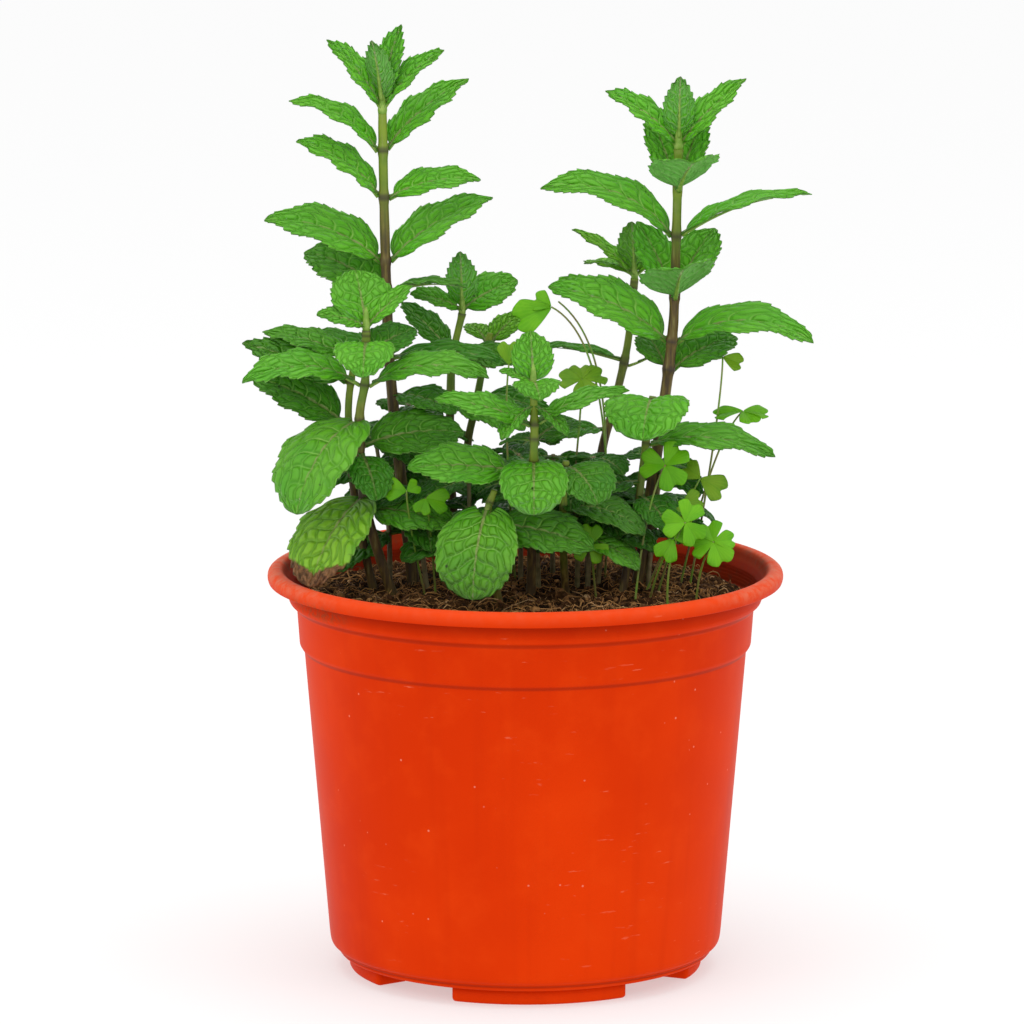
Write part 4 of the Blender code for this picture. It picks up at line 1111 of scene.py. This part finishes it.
def growShoot(number, foot, top, skins):
    pick = random.Random(undergrowth["seed"] + number)
    bm = bmesh.new()
    layers = leafLayers(bm)
    middle = (foot + top) / 2 + Vector((pick.uniform(-3, 3), pick.uniform(-3, 3), 0))
    points = (foot, middle, top)
    turn = pick.uniform(0, 180)
    height = top.z - 1
    size = undergrowth["longest"] * pick.uniform(0.62, 0.8)
    index = 0
    while height > soil["edge"] + 25:
        for side in (0, 180):
            heading = turn + side + pick.uniform(-14, 14)
            droop = pick.uniform(-48, -22)
            leaf = (height, heading, pick.uniform(-6, 26), droop, 2.5, size, size * pick.uniform(0.66, 0.84),
                    14 * math.cos(math.radians(heading)), 0, 7, 0.6)
            centre, _, _ = stemAt(points, height)
            # these leaves take the darkest tint, painted shade for the growth low down
            growLeaf(bm, centre, leaf, "leaf_painted_shade", 300 + number * 9 + index, layers)
            index += 1
        turn += 90
        size = min(undergrowth["longest"], size * 1.16)
        height -= undergrowth["gap"]
    thick = undergrowth["thick"]
    places = []
    for k in range(25):
        share = k / 24
        along = curveAlong(points, share, 0.02)
        places.append(ringPlace(curvePoint(points, share), along, thick * (1 - 0.35 * share)))
    for vert in sweep(bm, places, 10):
        vert[layers["stalkAge"]] = 0.8
        for face in vert.link_faces:
            face.material_index = 1
    addPiece(bm, f"undergrowth_{number + 1}", skins, [])


def buildUndergrowth():
    skins = [leafGreen(), leafStalkSkin()]
    for number, (x, y, topX, topY, height) in enumerate(undergrowth["shoots"]):
        growShoot(number, Vector((x, y, 152)), Vector((topX, topY, height)), skins)
    for number, (stem, tint, leaf) in enumerate(extraLeaves):
        bm = bmesh.new()
        low, high, points = stems[stem]
        centre, _, share = stemAt(points, leaf[0])
        heading = math.radians(leaf[1])
        base = centre + Vector((math.cos(heading), math.sin(heading), 0)) * low * 0.6
        growLeaf(bm, base, leaf, tint, 500 + number, leafLayers(bm))
        addPiece(bm, f"extra_leaf_{number + 1}", skins, [])


buildUndergrowth()
print("undergrowth built")


# ---- wood sorrel: the foot (x, y), the point the stalk bows towards, its head, the way the leaf faces
# (heading, rise) and its leaflets (turn in the plane of the leaf, length, width)

sorrel = {
    "sorrel_right_open": ((46, -30), (50, -26, 205), (59, -22, 221), (-96, 24), (
        (52, 11, 13), (174, 11, 13), (-62, 11, 13))),
    "sorrel_right_front": ((60, -38), (58, -42, 186), (67, -42, 200), (-80, 20), (
        (64, 10, 12), (182, 10, 12), (-58, 10, 12))),
    "sorrel_right_low": ((72, -28), (72, -34, 180), (79, -38, 191), (-100, 34), (
        (112, 10, 12), (196, 10, 12), (-62, 11, 12), (12, 9, 9))),
    "sorrel_right_high": ((66, 18), (80, 18, 226), (93, 16, 238), (-86, 72), (
        (184, 13, 11), (-4, 11, 11), (-70, 10, 10))),
    "sorrel_middle_high": ((34, 18), (40, 14, 268), (11, 8, 284), (-90, 26), ((200, 17, 15), (150, 9, 10))),
}

moreSorrel = (
    ((52, -22), (56, -36, 182), (62, -42, 193), (-90, 20), ((-120, 10, 11), (20, 7, 8))),
    ((-42, -16), (-50, -30, 200), (-50, -34, 212), (-90, 20), ((172, 9, 10), (30, 6, 7))),
    ((-38, -14), (-40, -28, 198), (-42, -34, 209), (-90, 20), ((-10, 10, 11), (-110, 7, 8))),
    ((30, -22), (28, -36, 186), (27, -40, 190), (-90, 10), ((85, 9, 10), (200, 8, 10), (-40, 8, 10))),
    ((-4, 8), (-10, -6, 240), (-7, -10, 262), (-90, 8), ((90, 10, 10),)),
    ((16, 20), (24, 6, 236), (24, 2, 254), (-84, 52), (
        (175, 10, 11), (20, 11, 12), (90, 9, 10), (-80, 9, 11))),
    ((70, 16), (84, 14, 240), (84, 12, 262), (-90, 30), ((-20, 9, 8),)),
    ((30, 20), (44, 16, 262), (14, 10, 286), (-90, 20), ()),
    ((56, -2), (66, -12, 200), (74, -14, 214), (-90, 24), ((-30, 12, 12), (140, 9, 10))),
    ((50, -8), (62, -20, 192), (66, -22, 204), (-90, 20), ((-100, 10, 11), (20, 9, 10))))

sorrelLook = {"rows": 18, "columns": 18, "thick": 0.25, "stalk": 0.5}


def sorrelGreen():
    s = Shader("sorrelLeaf")
    along, across, seed = s.parts(s.attribute("leafMap"))
    place = s.objectPlace()
    patch = s.noise(place, 90.0, 3.0)
    rib = s.band(abs(across), 0.07, 0.015)
    rays = ((across / (along + 0.25)) * 26.0).sum("SINE") * 0.5 + 0.5
    fresh = s.mix(s.band(patch, 0.3, 0.7), (0.11, 0.42, 0.002), (0.18, 0.52, 0.004))
    older = s.mix(s.band(patch, 0.3, 0.7), (0.12, 0.3, 0.005), (0.22, 0.4, 0.015))
    colour = s.mix(s.band(seed, 4.0, 6.0), fresh, older)
    colour = s.mix(rays ** 3.0 * 0.15, colour, (0.36, 0.68, 0.04))
    colour = s.mix(rib * 0.4, colour, (0.12, 0.36, 0.01))
    relief = s.bump(rays * 0.4 - rib, 0.3, 0.0003)
    through = s.mix(0.5, colour, (0.4, 0.8, 0.02))
    values = {"Base Color": colour, "Roughness": 0.5, "Specular IOR Level": 0.3, "Normal": relief}
    return s.finish(values, through, 0.3)


def sorrelStalkSkin():
    s = Shader("sorrelStalk")
    fleck = s.noise(s.objectPlace(), 120.0, 2.0)
    colour = s.mix(s.band(fleck, 0.35, 0.65), (0.15, 0.32, 0.02), (0.24, 0.22, 0.06))
    return s.finish({"Base Color": colour, "Roughness": 0.5})


def growLeaflet(bm, head, facing, leaflet, layers, seed):
    spin, length, width = leaflet
    yaw, pitch = math.radians(facing[0]), math.radians(facing[1])
    front = towards(yaw, pitch)
    right = Vector((0, 0, 1)).cross(front).normalized()
    upper = front.cross(right)
    angle = math.radians(spin)
    along = right * math.cos(angle) + upper * math.sin(angle)
    left = front.cross(along)
    rows, columns = sorrelLook["rows"], sorrelLook["columns"]
    grid = bmesh.ops.create_grid(bm, x_segments=rows, y_segments=columns, size=1)["verts"]
    for vert in grid:
        far, across = (vert.co.x + 1) / 2, vert.co.y
        out = abs(across)
        # heart shaped: narrow at the stalk, widest near the end, with a notch in the middle of the end
        half = width * (0.04 + 0.47 * math.sin(math.pi / 2 * min(1.0, far / 0.86)) ** 0.9)
        notch = 0.2 * math.exp(-(out / 0.28) ** 2) * far ** 3
        reach = far * length * (1 - notch - 0.31 * out ** 3 * far ** 2)
        droop = out * half * 0.28 - far ** 2 * length * 0.14 - 0.12 * out ** 2 * half * far
        vert.co = head + along * (reach + 0.3) + left * half * across + front * droop
        vert[layers["leafMap"]] = (far, across, seed)
    bmesh.ops.solidify(bm, geom=list({f for v in grid for f in v.link_faces}), thickness=sorrelLook["thick"])


def stalkPlaces(foot, bow, head, radius, steps=26):
    start = Vector((foot[0], foot[1], soilTop(math.hypot(*foot), math.atan2(foot[1], foot[0])) - 4))
    bow, head = Vector(bow), Vector(head)
    places = []
    for k in range(steps + 1):
        t = k / steps
        centre = start * (1 - t) ** 2 + bow * 2 * t * (1 - t) + head * t ** 2
        along = ((bow - start) * (1 - t) + (head - bow) * t).normalized()
        places.append(ringPlace(centre, along, radius * (1 - 0.25 * t)))
    return places


def growSorrel(name, plant, skins, seed, nodes):
    foot, bow, head, facing, leaflets = plant
    bm = bmesh.new()
    layers = {"leafMap": bm.verts.layers.float_vector.new("leafMap")}
    bm.verts.layers.float_vector.new("ring")
    for leaflet in leaflets:
        growLeaflet(bm, Vector(head), facing, leaflet, layers, seed)
    for vert in sweep(bm, stalkPlaces(foot, bow, head, sorrelLook["stalk"]), 8):
        for face in vert.link_faces:
            face.material_index = 1
    addPiece(bm, name, skins, nodes)


def buildSorrel():
    skins = [sorrelGreen(), sorrelStalkSkin()]
    for number, (name, plant) in enumerate(sorrel.items()):
        growSorrel(name.replace("sorrel_", "clover_"), plant, skins, 0.9 * number, [name])
    for number, plant in enumerate(moreSorrel):
        growSorrel(f"clover_more_{number + 1}", plant, skins, 3 + number * 0.6, [])


buildSorrel()
print("sorrel built")
